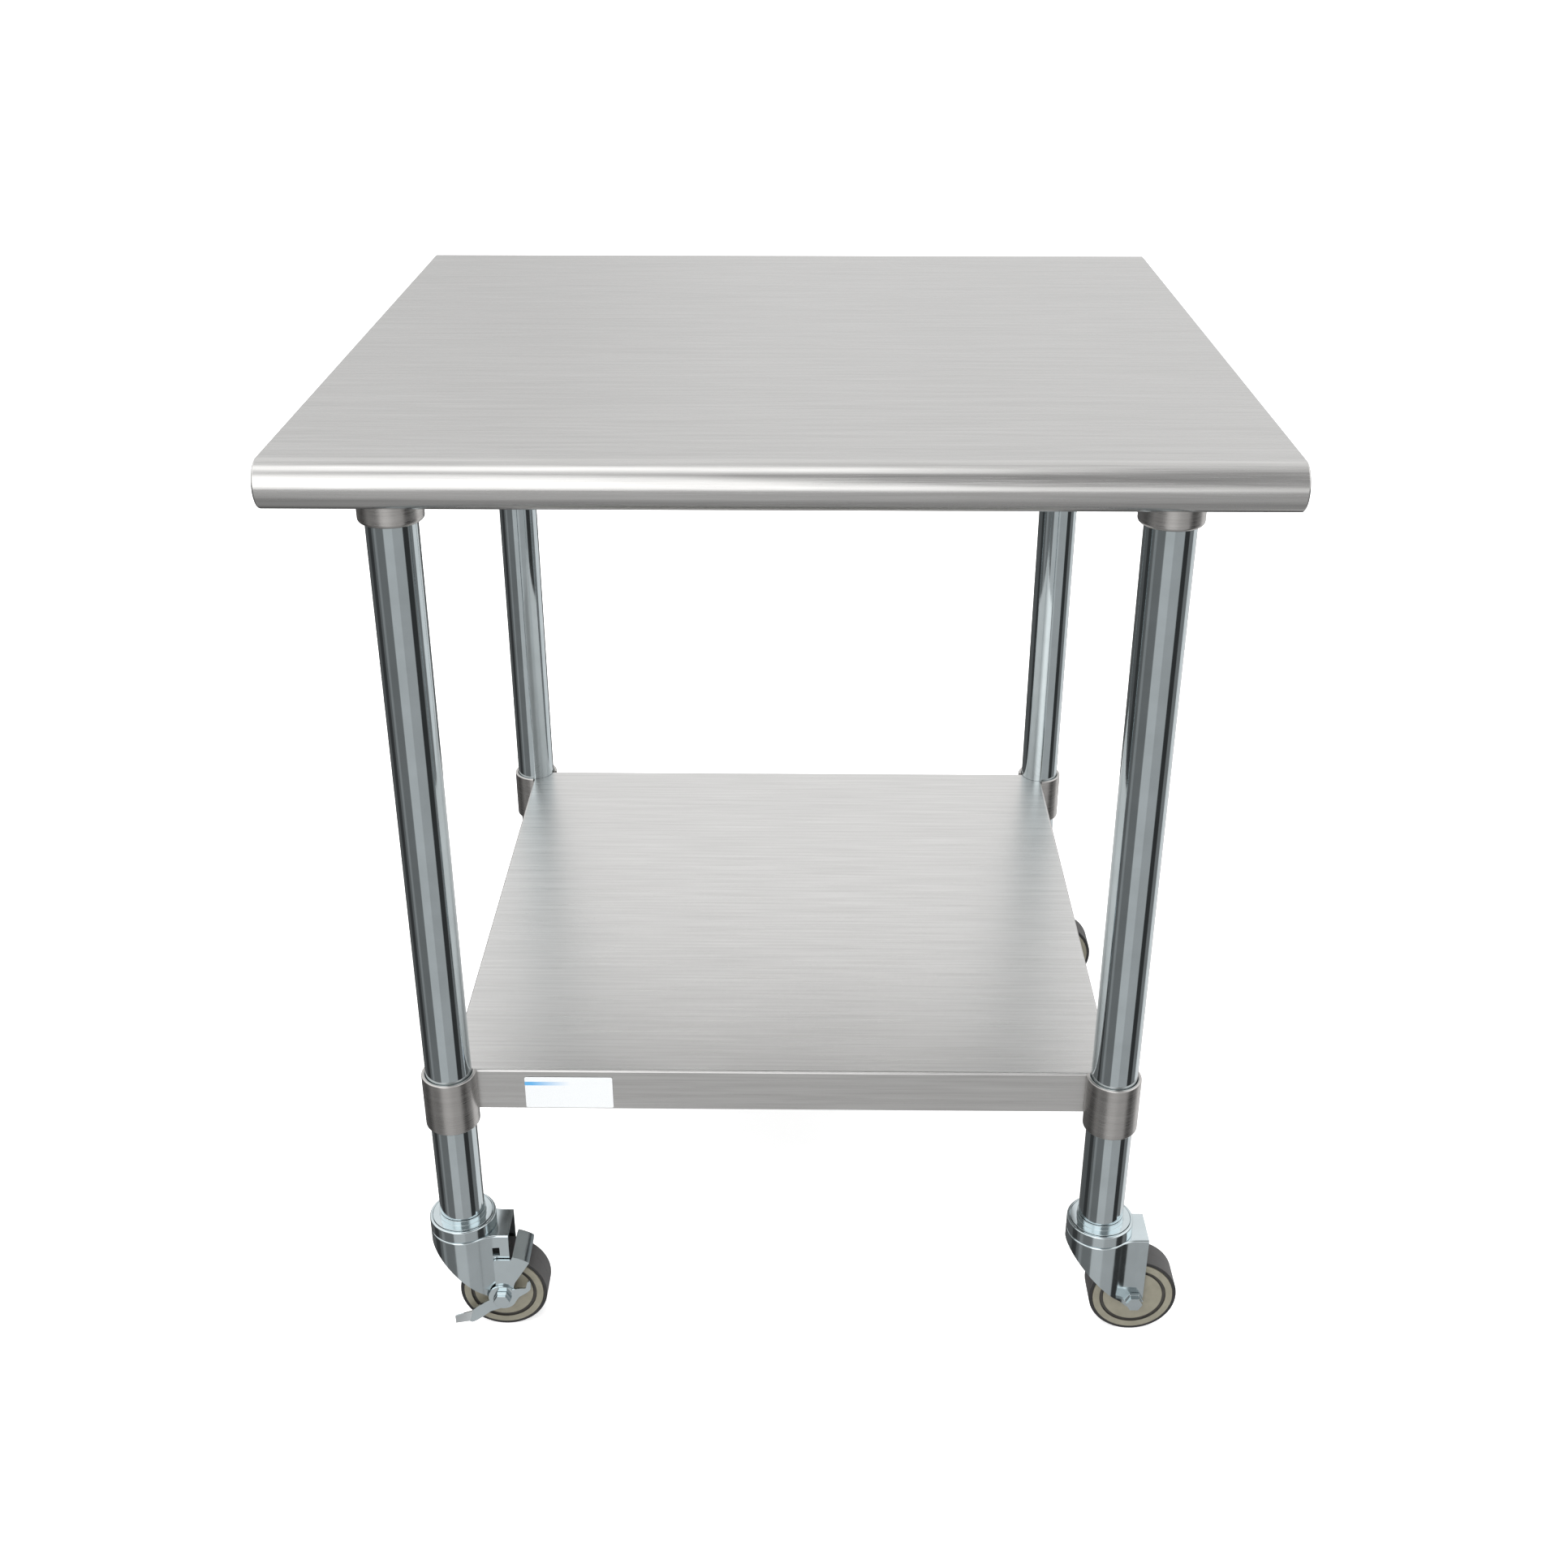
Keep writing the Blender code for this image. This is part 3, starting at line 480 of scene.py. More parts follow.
def printed_plate(name, low, high):
    """Pale glossy plate with a blue stripe near its top edge that fades out towards the right."""
    stripe_foot, stripe_top = 0.73, 0.85  # shares of the plate's height
    fade_start, fade_end = 0.08, 0.52  # shares of its width
    blue = (0.05, 0.27, 0.52)
    n = Nodes(name)
    split = n.new("ShaderNodeSeparateXYZ")
    n.link(n.coords, split.inputs[0])
    along = n.span(split.outputs["X"], 0, 1, low.x, high.x)
    height = n.span(split.outputs["Z"], 0, 1, low.z, high.z)
    fade = n.span(along, 0.95, 0, fade_start, fade_end)
    above = n.math("GREATER_THAN", height, stripe_foot)
    below = n.math("LESS_THAN", height, stripe_top)
    paper = n.noise((1600, 1600, 1600), 3)
    base = n.mix(n.span(paper, 0, 1), (0.565, 0.580, 0.588), (0.575, 0.590, 0.598))
    colour = n.mix(n.math("MULTIPLY", n.math("MULTIPLY", above, below), fade), base, blue)
    return n.finish(colour, n.span(paper, 0.24, 0.34), metallic=0.0)


# ---------------------------------------------------------------- materials

STREAKS = (12, 1300, 1300)  # grain along X of the deck and the shelf
BANDS = (9, 340, 340)

STEEL_DECK = brushed("deck_steel", (0.635, 0.63, 0.62), (0.545, 0.54, 0.53), 0.22,
                     STREAKS, BANDS, 0.25, 0.05)
# The shelf deck's steel is a lighter copy of the lip's steel: painted light on the up-facing deck.
STEEL_SHELF_LIT = brushed("shelf_steel_lit", (0.755, 0.75, 0.74), (0.635, 0.63, 0.62), 0.32,
                      STREAKS, BANDS, 0.2, 0.05)
STEEL_LIP = brushed("lip_steel", (0.67, 0.665, 0.655), (0.565, 0.56, 0.55), 0.32,
                    STREAKS, BANDS, 0.2, 0.05)
STEEL_END = brushed("end_steel", (0.645, 0.64, 0.63), (0.60, 0.595, 0.585), 0.30,
                    (900, 900, 3), (90, 90, 2), 0.2)
# Darker, rougher copy of the sheet steel for the undersides of the top and the shelf: its darker colour is
# painted shade under the decks.
STEEL_UNDERSIDE_SHADE = brushed("underside_shaded_steel", (0.42, 0.42, 0.41), (0.35, 0.35, 0.34), 0.50,
                      (4, 400, 400), (1.5, 60, 60), 0.2, metallic=0.6)
STEEL_SLEEVE = brushed("sleeve_steel", (0.60, 0.585, 0.57), (0.53, 0.515, 0.50), 0.30,
                       (10, 10, 1500), (5, 5, 300), 0.15)
STEEL_CHANNEL = brushed("channel_steel", (0.50, 0.52, 0.53), (0.40, 0.42, 0.43), 0.42,
                        (500, 3, 500), (70, 1.5, 70), 0.2)
TUBE = plated("tube_steel", (0.595, 0.66, 0.685), (0.54, 0.60, 0.62), 0.07, 0.006)
CASTER = plated("caster_plate", (0.62, 0.69, 0.715), (0.57, 0.635, 0.655), 0.12, 0.012)
# Lighter, rougher plate for the foot pad: the roughness is scuffing, the lighter colour is painted light
# on the pad.
SCUFFED_LIT = plated("scuffed_lit_plate", (0.86, 0.90, 0.91), (0.74, 0.78, 0.79), 0.42, 0.05)
SCREW = plated("screw_steel", (0.24, 0.24, 0.25), (0.17, 0.17, 0.18), 0.32)
TREAD = rubber("tread_rubber", (0.072, 0.070, 0.069), (0.046, 0.045, 0.045))
# The side walls' rubber is a darker copy of the tread's: painted shade on the sides.
TYRE_SIDE_SHADE = rubber("side_rubber_shaded", (0.022, 0.021, 0.021), (0.012, 0.012, 0.012))
CORE = polymer("core_polymer", (0.204, 0.192, 0.145), (0.168, 0.158, 0.117), 0.42)
# The grooves' polymer is a darker copy of the core's: painted shade in the recess.
CORE_GROOVE_SHADE = polymer("core_groove_shaded", (0.060, 0.056, 0.048), (0.040, 0.037, 0.032), 0.55)


# ---------------------------------------------------------------- places


def centre(node):
    low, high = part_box(node)
    return (low + high) / 2


def leg_place(leg):
    """Where a leg stands on the floor, as x and y."""
    middle = centre("leg_tube_" + leg)
    return middle.x, middle.y


def axle_place(leg):
    return centre("wheel_tyre_" + leg)


def inward_turn(leg):
    """Direction from a leg towards the middle of the four legs."""
    x, y = leg_place(leg)
    middle_y = (leg_place("front_left")[1] + leg_place("rear_left")[1]) / 2
    return math.atan2(-math.copysign(1, y - middle_y), -math.copysign(1, x))


TOP_LOW, TOP_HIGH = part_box("table_top")
SHELF_LOW, SHELF_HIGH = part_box("shelf_pan")
WHEEL_RADIUS = (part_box("wheel_tyre_front_left")[1].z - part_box("wheel_tyre_front_left")[0].z) / 2
TRAIL = axle_place("front_left").x - leg_place("front_left")[0]
AXLE = (TRAIL, WHEEL_RADIUS)


# ---------------------------------------------------------------- top and shelf


def stadium(half_length, radius, steps):
    """Side view of the top, in YZ: a slab whose front and back ends are half-round."""
    centre_z = TOP_HIGH.z - ROLL_RADIUS
    straight = half_length - ROLL_RADIUS
    back = arc((straight, centre_z), radius, -90, 90, steps)
    front = arc((-straight, centre_z), radius, 90, 270, steps)
    return back + front


def sheet_side(face, foot):
    """Picks a folded sheet's material: 1 underneath, where the darker steel paints shade, 2 at left and
    right, 3 at front and back, else 0.
    """
    if face.normal.z < -0.9 and face.calc_center_median().z > foot + 2 * SHEET:
        return 1
    if abs(face.normal.x) > 0.7:
        return 2
    return 3 if abs(face.normal.y) > 0.7 else 0


def rounded_slab(half):
    """The top's outer shape: its side view carried along X, drawn in along a quarter round at each end."""
    ends = arc((0, 0), EDGE_ROUND, 0, 90, 5)
    stations = [(EDGE_ROUND - along - half, EDGE_ROUND - across) for along, across in ends]
    stations += [(-x, inset) for x, inset in reversed(stations)]
    bm = bmesh.new()
    rings = []
    for x, inset in stations:
        ring = []
        for y, z in stadium(half, ROLL_RADIUS - inset, 44):
            ring.append(bm.verts.new((x, y, z)))
        rings.append(ring)
    for first, second in zip(rings, rings[1:]):
        for i in range(len(first)):
            bm.faces.new((first[i - 1], first[i], second[i], second[i - 1]))
    bm.faces.new(rings[0])
    bm.faces.new(rings[-1])
    bmesh.ops.recalc_face_normals(bm, faces=bm.faces)
    return bm


def build_table_top():
    """Folded sheet with half-round front and back edges, open underneath."""
    half = TOP_HIGH.x
    base = rounded_slab(half)
    inside = half - SHEET
    hollow = prism(stadium(half, ROLL_RADIUS - SHEET, 24), -inside, inside, "X")
    half_x = half - RETURN_LIP
    half_y = half - ROLL_RADIUS + ROLL_LIP
    mouth = block((-half_x, -half_y, TOP_LOW.z - SHEET), (half_x, half_y, TOP_LOW.z + 3 * SHEET))

    top = painted(combine(base, [hollow, mouth]), lambda face: sheet_side(face, TOP_LOW.z))
    # The underside skin is a darker copy of the sheet steel: painted shade under the top.
    skins = [STEEL_DECK, STEEL_UNDERSIDE_SHADE, STEEL_END, STEEL_DECK]
    piece(top, "table_top", "table", "stainless_sheet", skins, sharp=40)


def hat_profile(floor_width, brim_width, depth):
    """Cross-section of a hat channel, in XZ, hanging from z = 0."""
    floor = floor_width / 2
    brim = brim_width / 2
    outer = [(-brim, 0), (-brim, -SHEET), (-floor, -SHEET), (-floor, -depth),
             (floor, -depth), (floor, -SHEET), (brim, -SHEET), (brim, 0)]
    inner = [(floor - SHEET, 0), (floor - SHEET, SHEET - depth),
             (SHEET - floor, SHEET - depth), (SHEET - floor, 0)]
    return outer + inner


def build_channel(node, body, floor_width):
    """A hat channel of folded sheet along Y."""
    low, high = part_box(node)
    depth = high.z - low.z
    profile = rounded(hat_profile(floor_width, high.x - low.x, depth), CHANNEL_FOLD, 3)
    bm = prism(profile, low.y, high.y, "Y")
    bm = moved(bm, ((low.x + high.x) / 2, 0, high.z))
    piece(bm, node, body, "galvanised_sheet", [STEEL_CHANNEL])


def build_shelf_pan():
    """Folded sheet with a lip all round, cut round the legs and their collars."""
    low, high = SHELF_LOW, SHELF_HIGH
    base = block(low, high)

    def fold(edge):
        on_deck = all(abs(vert.co.z - high.z) < SAME for vert in edge.verts)
        upright = abs(edge.verts[0].co.z - edge.verts[1].co.z) > SHELF_HEM
        return on_deck or upright

    base = round_edges(base, fold, SHELF_FOLD, 6)
    hollow = block((low.x + SHEET, low.y + SHEET, low.z + SHEET),
                   (high.x - SHEET, high.y - SHEET, high.z - SHEET))
    mouth = block((low.x + SHELF_HEM, low.y + SHELF_HEM, low.z - SHEET),
                  (high.x - SHELF_HEM, high.y - SHELF_HEM, low.z + 2 * SHEET))
    cutters = [hollow, mouth]
    deck_foot = high.z - SHEET
    for leg in LEGS:
        x, y = leg_place(leg)
        for radius, bottom, top in ((COLLAR_RADIUS - COLLAR_BITE, low.z - SHEET, deck_foot - GAP),
                                    (TUBE_RADIUS + GAP, deck_foot - 2 * GAP, high.z + SHEET)):
            cutters.append(moved(rod(radius, bottom, top), (x, y, 0)))

    pan = painted(combine(base, cutters), lambda face: sheet_side(face, low.z))
    # The deck skin is a lighter copy of the lip's steel, painted light on the up-facing deck; the
    # underside skin is a darker copy, painted shade.
    skins = [STEEL_SHELF_LIT, STEEL_UNDERSIDE_SHADE, STEEL_END, STEEL_LIP]
    piece(pan, "shelf_pan", "shelf", "stainless_sheet", skins, sharp=40)


def build_label():
    """Thin plate with round corners, without any text."""
    low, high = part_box("label_plate")
    corner = LABEL_CORNER
    outline = []
    for x, z, start in ((high.x - corner, low.z + corner, -90), (high.x - corner, high.z - corner, 0),
                        (low.x + corner, high.z - corner, 90), (low.x + corner, low.z + corner, 180)):
        outline += arc((x, z), corner, start, start + 90, 6)
    bm = soften(prism(outline, low.y, high.y, "Y"), 0.15 * MM, angle=50)
    mat = printed_plate("label_print", low, high)
    piece(bm, "label_plate", "shelf", "label", [mat])


# ---------------------------------------------------------------- legs


def screw_hole(turn, height):
    """A cutter along the turn's direction, through one side of a sleeve."""
    bm = rod(SCREW_RADIUS + GAP, 15 * MM, 32 * MM, 40)
    bmesh.ops.rotate(bm, verts=bm.verts, matrix=Matrix.Rotation(math.radians(90), 3, "Y"))
    return moved(bm, (0, 0, height), turn)


def build_socket(leg):
    """Collar under the top that holds a leg's upper end."""
    node = "leg_socket_" + leg
    low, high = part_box(node)
    x, y = leg_place(leg)
    flange = (high.x - low.x) / 2
    flange_foot = high.z - SOCKET_FLANGE
    edge = 0.6 * MM
    fillet = 1.2 * MM
    chamfer = 0.4 * MM
    mouth = SOCKET_MOUTH
    roof = high.z - SOCKET_ROOF
    profile = [(0, high.z)]
    profile += arc((flange - edge, high.z - edge), edge, 90, 0, 4)
    profile += arc((flange - edge, flange_foot + edge), edge, 0, -90, 4)
    profile += arc((SOCKET_RADIUS + fillet, flange_foot - fillet), fillet, 90, 180, 4)
    profile += arc((SOCKET_RADIUS - mouth, low.z + mouth), mouth, 0, -90, 8)
    profile += [(BORE + chamfer, low.z), (BORE, low.z + chamfer), (BORE, roof), (0, roof)]
    bm = combine(turned(profile), [screw_hole(inward_turn(leg), centre("socket_screw_" + leg).z)])
    piece(moved(bm, (x, y, 0)), node, "table", "sleeve_steel", [STEEL_SLEEVE])


def build_screw(kind, leg, body):
    """Set screw with a hexagon key hole, in a sleeve's inward side."""
    node = kind + "_" + leg
    x, y = leg_place(leg)
    chamfer = 0.5 * MM
    start = BORE
    end = start + SCREW_LENGTH
    profile = [(0, start), (SCREW_RADIUS - chamfer, start), (SCREW_RADIUS, start + chamfer),
               (SCREW_RADIUS, end - chamfer), (SCREW_RADIUS - chamfer, end), (0, end)]
    key = prism(arc((0, 0), KEY_RADIUS, 0, 300, 5), end - KEY_DEPTH, end + MM, "Z")
    bm = combine(turned(profile, 40), [key])
    bmesh.ops.rotate(bm, verts=bm.verts, matrix=Matrix.Rotation(math.radians(90), 3, "Y"))
    piece(moved(bm, (x, y, centre(node).z), inward_turn(leg)), node, body, "screw_steel", [SCREW])


def build_tube(leg):
    """Round leg with softened ends."""
    node = "leg_tube_" + leg
    low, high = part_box(node)
    x, y = leg_place(leg)
    inner = TUBE_RADIUS - TUBE_WALL
    walls = [(TUBE_RADIUS, low.z), (TUBE_RADIUS, high.z), (inner, high.z), (inner, low.z)]
    bm = turned(rounded(walls, TUBE_ROUND), 128)
    piece(moved(bm, (x, y, 0)), node, "table", "tube_steel", [TUBE])


def build_collar(leg):
    """A sleeve whose inner quarter is lower, so that the shelf's deck lies over it."""
    node = "shelf_collar_" + leg
    low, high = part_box(node)
    x, y = leg_place(leg)
    rim = SHELF_HIGH.z + COLLAR_RIM
    foot = low.z - COLLAR_RIM
    walls = [(COLLAR_RADIUS, foot), (COLLAR_RADIUS, rim), (BORE, rim), (BORE, foot)]
    profile = rounded(walls, COLLAR_ROUND, 6)
    right = x > 0
    front = "front" in leg
    edge_x = SHELF_HIGH.x + GAP if right else SHELF_LOW.x - GAP
    edge_y = SHELF_LOW.y - GAP if front else SHELF_HIGH.y + GAP
    reach = 60 * MM
    xs = sorted((edge_x, edge_x - math.copysign(reach, x)))
    ys = sorted((edge_y, edge_y + (reach if front else -reach)))
    step = block((xs[0], ys[0], SHELF_HIGH.z - SHEET - 2 * GAP), (xs[1], ys[1], high.z + SHEET))
    bm = combine(moved(turned(profile), (x, y, 0)), [step])
    hole = moved(screw_hole(inward_turn(leg), centre("collar_screw_" + leg).z), (x, y, 0))
    piece(combine(bm, [hole]), node, "shelf", "sleeve_steel", [STEEL_SLEEVE])


# ---------------------------------------------------------------- casters


def build_stem(leg):
    """Plug in the tube, ring and disc under it, and the king pin with its head."""
    node = "caster_stem_" + leg
    low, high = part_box(node)
    x, y = leg_place(leg)
    plug = TUBE_RADIUS - TUBE_WALL - GAP
    ring_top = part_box("leg_tube_" + leg)[0].z - GAP
    taper = 3 * MM
    disc_top = ring_top - RING_HEIGHT
    profile = [(0, low.z), (KING_HEAD_RADIUS, low.z), (KING_HEAD_RADIUS, KING_HEAD_TOP),
               (SPINDLE_RADIUS, KING_HEAD_TOP), (SPINDLE_RADIUS, DISC_FOOT), (DISC_RADIUS, DISC_FOOT),
               (DISC_RADIUS, disc_top), (RING_RADIUS, disc_top), (RING_RADIUS, ring_top),
               (plug, ring_top), (plug, high.z - taper), (plug - taper, high.z), (0, high.z)]
    bm = turned(rounded(profile, 0.4 * MM, 4))
    piece(moved(bm, (x, y, 0)), node, "table", "caster_steel", [CASTER])


def build_cap(leg):
    """Round housing over the swivel race, with a rounded rim and a fine groove at its foot."""
    node = "bearing_cap_" + leg
    low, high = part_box(node)
    x, y = leg_place(leg)
    groove = 0.7 * MM
    chamfer = 0.3 * MM
    pocket = DISC_RADIUS + 0.4 * MM
    bore = SPINDLE_RADIUS + GAP
    profile = [(FORK_RADIUS - groove, low.z), (FORK_RADIUS, low.z + groove)]
    profile += arc((FORK_RADIUS - CAP_RIM, high.z - CAP_RIM), CAP_RIM, 0, 90, 8)
    profile += [(pocket + chamfer, high.z), (pocket, high.z - chamfer), (pocket, CAP_FLOOR),
                (bore, CAP_FLOOR), (bore, low.z)]
    piece(moved(turned(profile), (x, y, 0)), node, "swivel_" + leg, "caster_steel", [CASTER])


def fork_outline(inset, reach):
    """Plan of the fork: round at the swivel, then two flat cheeks towards +X."""
    radius = FORK_RADIUS - inset
    half = FORK_HALF_WIDTH - inset
    fillet = FORK_FILLET + inset
    centre_x = math.sqrt((radius + fillet) ** 2 - (half + fillet) ** 2)
    turn = math.degrees(math.atan2(half + fillet, centre_x))
    near_fillet = arc((centre_x, -half - fillet), fillet, 90, 180 - turn, 14)
    round_end = arc((0, 0), radius, -turn, turn - 360, 80)
    far_fillet = arc((centre_x, half + fillet), fillet, 180 + turn, 270, 14)
    return [(reach, -half)] + near_fillet + round_end[1:-1] + far_fillet + [(reach, half)]


def fork_side():
    """Side view of the fork, in XZ: a sloping rear edge and a round tip at the axle."""
    middle = (FORK_REACH - TIP_RADIUS, TIP_HEIGHT)
    slope = math.degrees(math.atan(FORK_SLOPE))
    tip = arc(middle, TIP_RADIUS, 0, -90 - slope, 20)
    last = tip[-1]
    back_x = -FORK_RADIUS - 8 * MM
    back_z = last[1] + (last[0] - back_x) * FORK_SLOPE
    roof = FORK_TOP + 5 * MM
    return [(back_x, back_z), (back_x, roof), (FORK_REACH, roof)] + tip


def axle_hole():
    """A cutter for the axle, through both cheeks."""
    return moved(rod(AXLE_RADIUS + GAP, -60 * MM, 60 * MM, 48, "Y"), (AXLE[0], 0, AXLE[1]))


def fork_mesh(slotted):
    """Pressed fork: a top plate, a skirt that wraps the swivel and two cheeks for the axle."""
    low = 20 * MM
    top = FORK_TOP
    base = prism(fork_outline(0, FORK_REACH), low, top, "Z")

    def fold(edge):
        on_top = all(abs(vert.co.z - top) < SAME for vert in edge.verts)
        at_mouth = all(abs(vert.co.x - FORK_REACH) < SAME for vert in edge.verts)
        return on_top and not at_mouth

    base = round_edges(base, fold, 2 * MM, 5)
    hollow = prism(fork_outline(FORK_SHEET, FORK_REACH + 10 * MM), low - MM, top - FORK_ROOF, "Z")
    pin_hole = rod(SPINDLE_RADIUS + GAP, top - 10 * MM, top + 5 * MM, 48)
    cutters = [hollow, pin_hole, axle_hole()]
    if slotted:
        cutters.append(block((SLOT_LOW[0], -25 * MM, SLOT_LOW[1]), (SLOT_HIGH[0], -12 * MM, SLOT_HIGH[1])))
    shell = combine(base, cutters)
    shell = combine(shell, [prism(fork_side(), -PAST, PAST, "Y")], "INTERSECT")
    return soften(shell, 0.35 * MM, angle=45)


def hexagon(radius, low, high):
    """A hexagonal prism along Y, with a flat at the top and the bottom."""
    return prism(arc((0, 0), radius, 0, 300, 5), low, high, "Y")


def bolt_mesh(head_start, head_face, collar_radius, collar):
    """Axle bolt with a hexagon collar and a hexagon head at -Y, centred on the axle."""
    end = FORK_HALF_WIDTH + 10 * MM
    overlap = 0.5 * MM
    chamfer = 0.6 * MM
    shaft = [(0, -head_start - overlap), (AXLE_RADIUS, -head_start - overlap),
             (AXLE_RADIUS, end - chamfer), (AXLE_RADIUS - chamfer, end), (0, end)]
    shaft = turned([(radius, -y) for radius, y in shaft], 48, "Y")
    base = hexagon(collar_radius, -head_start - collar, -head_start)
    head = hexagon(HEX_RADIUS, -head_face, -head_start - collar + overlap)
    return soften(combine(base, [head, shaft], "UNION"), 0.3 * MM, angle=28, segments=3)


def nut_mesh():
    """Lock nut with its washer at +Y, centred on the axle."""
    start = FORK_HALF_WIDTH + GAP
    end = start + WASHER_SHEET
    washer = rod(WASHER_RADIUS, -start, -end, 72, "Y")
    overlap = 0.5 * MM
    nut = combine(washer, [hexagon(HEX_RADIUS, end - overlap, end + NUT_HEIGHT)], "UNION")
    bore = rod(AXLE_RADIUS + GAP, 0, -PAST, 48, "Y")
    return soften(combine(nut, [bore]), 0.3 * MM, angle=28)


def hub_mesh():
    """Polymer wheel core with a rounded ring groove in each face."""
    boss = BOSS_HALF_WIDTH
    face = HUB_FACE
    edge = 0.4 * MM
    fillet = 0.7 * MM
    rim = 0.6 * MM
    floor = face - GROOVE_DEPTH
    half = [(AXLE_RADIUS + GAP, boss), (BOSS_RADIUS - edge, boss), (BOSS_RADIUS, boss - edge),
            (BOSS_RADIUS, face + edge), (BOSS_RADIUS + edge, face), (20 * MM, face)]
    half += arc((GROOVE_INNER - edge, face - edge), edge, 90, 0, 4)
    half += arc((GROOVE_INNER + fillet, floor + fillet), fillet, 180, 270, 4)
    half += arc((GROOVE_OUTER - fillet, floor + fillet), fillet, 270, 360, 4)
    half += arc((GROOVE_OUTER + edge, HUB_HALF_WIDTH - edge), edge, 180, 90, 4)
    half += arc((HUB_RADIUS - rim, HUB_HALF_WIDTH - rim), rim, 90, 0, 4)
    return turned(half + [(radius, -y) for radius, y in reversed(half)], 128, "Y")


def in_shaded_groove(face):
    """Picks the darker polymer for the hub's ring grooves, which paints shade in them."""
    middle = face.calc_center_median()
    radius = math.hypot(middle.x, middle.z)
    margin = 0.1 * MM
    return 1 if GROOVE_INNER - margin < radius < GROOVE_OUTER + margin else 0


def tyre_mesh():
    """Tread ring with rounded shoulders and a faint mould line round its middle."""
    wall = TYRE_HALF_WIDTH
    shoulder = TYRE_SHOULDER
    chamfer = 0.3 * MM
    line_width = 0.25 * MM
    line_depth = 0.12 * MM
    half = [(TYRE_BORE, wall - chamfer), (TYRE_BORE + chamfer, wall)]
    half += arc((WHEEL_RADIUS - shoulder, wall - shoulder), shoulder, 90, 0, 8)
    half += [(WHEEL_RADIUS, line_width)]
    lower = [(radius, -y) for radius, y in reversed(half)]
    return turned(half + [(WHEEL_RADIUS - line_depth, 0)] + lower, 160, "Y")


def on_shaded_side(face):
    """Picks the darker rubber for the tyre's side walls, which paints shade on them."""
    return 1 if abs(face.normal.y) > 0.75 else 0


# ---------------------------------------------------------------- brake


def shoe_mesh():
    """Plate against the near cheek, with a curved flange that stands over the tread."""
    corner = SHOE_CORNER
    foot = arc(AXLE, 7 * MM, 215, 340, 24)
    rim = arc(AXLE, SHOE_RADIUS, SHOE_START, SHOE_END, 16)
    start = FORK_REACH + 1.3 * MM
    waist = (46.6 * MM, 56.3 * MM)
    outline = foot + [waist] + rim + [(start, SHOE_TOP)]
    outline += arc((SHOE_LEFT + corner, SHOE_TOP - corner), corner, 90, 180, 8)
    plate = prism(outline, -SHOE_FACE, -SHOE_INNER, "Y")
    inner_rim = arc(AXLE, SHOE_RADIUS - SHOE_SHEET, SHOE_END, SHOE_START, 16)
    overlap = 0.8 * MM
    flange = prism(rim + inner_rim, -SHOE_FACE + overlap, SHOE_FAR, "Y")

    def far_corner(edge):
        ends = [vert.co for vert in edge.verts]
        far = all(abs(end.y - SHOE_FAR) < SAME for end in ends)
        return far and abs((ends[0] - ends[1]).length - SHOE_SHEET) < 10 * SAME

    flange = round_edges(flange, far_corner, FLANGE_CORNER, 12)
    tilt = (SHOE_START + SHOE_END) / 2
    travel = math.radians(tilt)
    reach = (AXLE[0] + SHOE_TRAVEL * math.cos(travel), AXLE[1] + SHOE_TRAVEL * math.sin(travel))
    slot = arc(reach, AXLE_RADIUS + GAP, tilt - 90, tilt + 90, 16)
    slot += arc(AXLE, AXLE_RADIUS + GAP, tilt + 90, tilt + 270, 16)
    shoe = combine(combine(plate, [flange], "UNION"), [prism(slot, -PAST, 0, "Y")])
    return soften(shoe, 0.75 * MM, angle=40, segments=3)


def foot_pad(crease_top, crease_foot):
    """Pad that carries on from the lever's arm and turns outwards, from a crease between two points."""
    bend = math.radians(PAD_BEND)
    back = (-PAD_LENGTH * math.cos(bend), -PAD_LENGTH * math.sin(bend))
    thick = (-LEVER_SHEET * math.sin(bend), -LEVER_SHEET * math.cos(bend))
    face = -LEVER_INNER - LEVER_SHEET
    bm = bmesh.new()
    rings = []
    overlap = 0.8 * MM
    ends = ((crease_top, 0.0, 1.6 * MM, 0.0), (crease_foot, 4.4 * MM, -2 * MM, 0.8 * MM))
    for crease, rise, wider, twist in ends:
        root_x = crease[0] + overlap
        far_x = crease[0] + back[0] - wider
        far_y = face + back[1] - twist
        far_z = crease[1] + rise
        corners = [(root_x, face, crease[1]), (far_x, far_y, far_z),
                   (far_x - thick[0], far_y - thick[1], far_z),
                   (root_x - thick[0], face - thick[1] * 0.9, crease[1])]
        rings.append([bm.verts.new(point) for point in corners])
    top, foot = rings
    bm.faces.new(top)
    bm.faces.new(reversed(foot))
    for i in range(4):
        j = (i + 1) % 4
        bm.faces.new((top[i], top[j], foot[j], foot[i]))
    bmesh.ops.recalc_face_normals(bm, faces=bm.faces)
    return bm


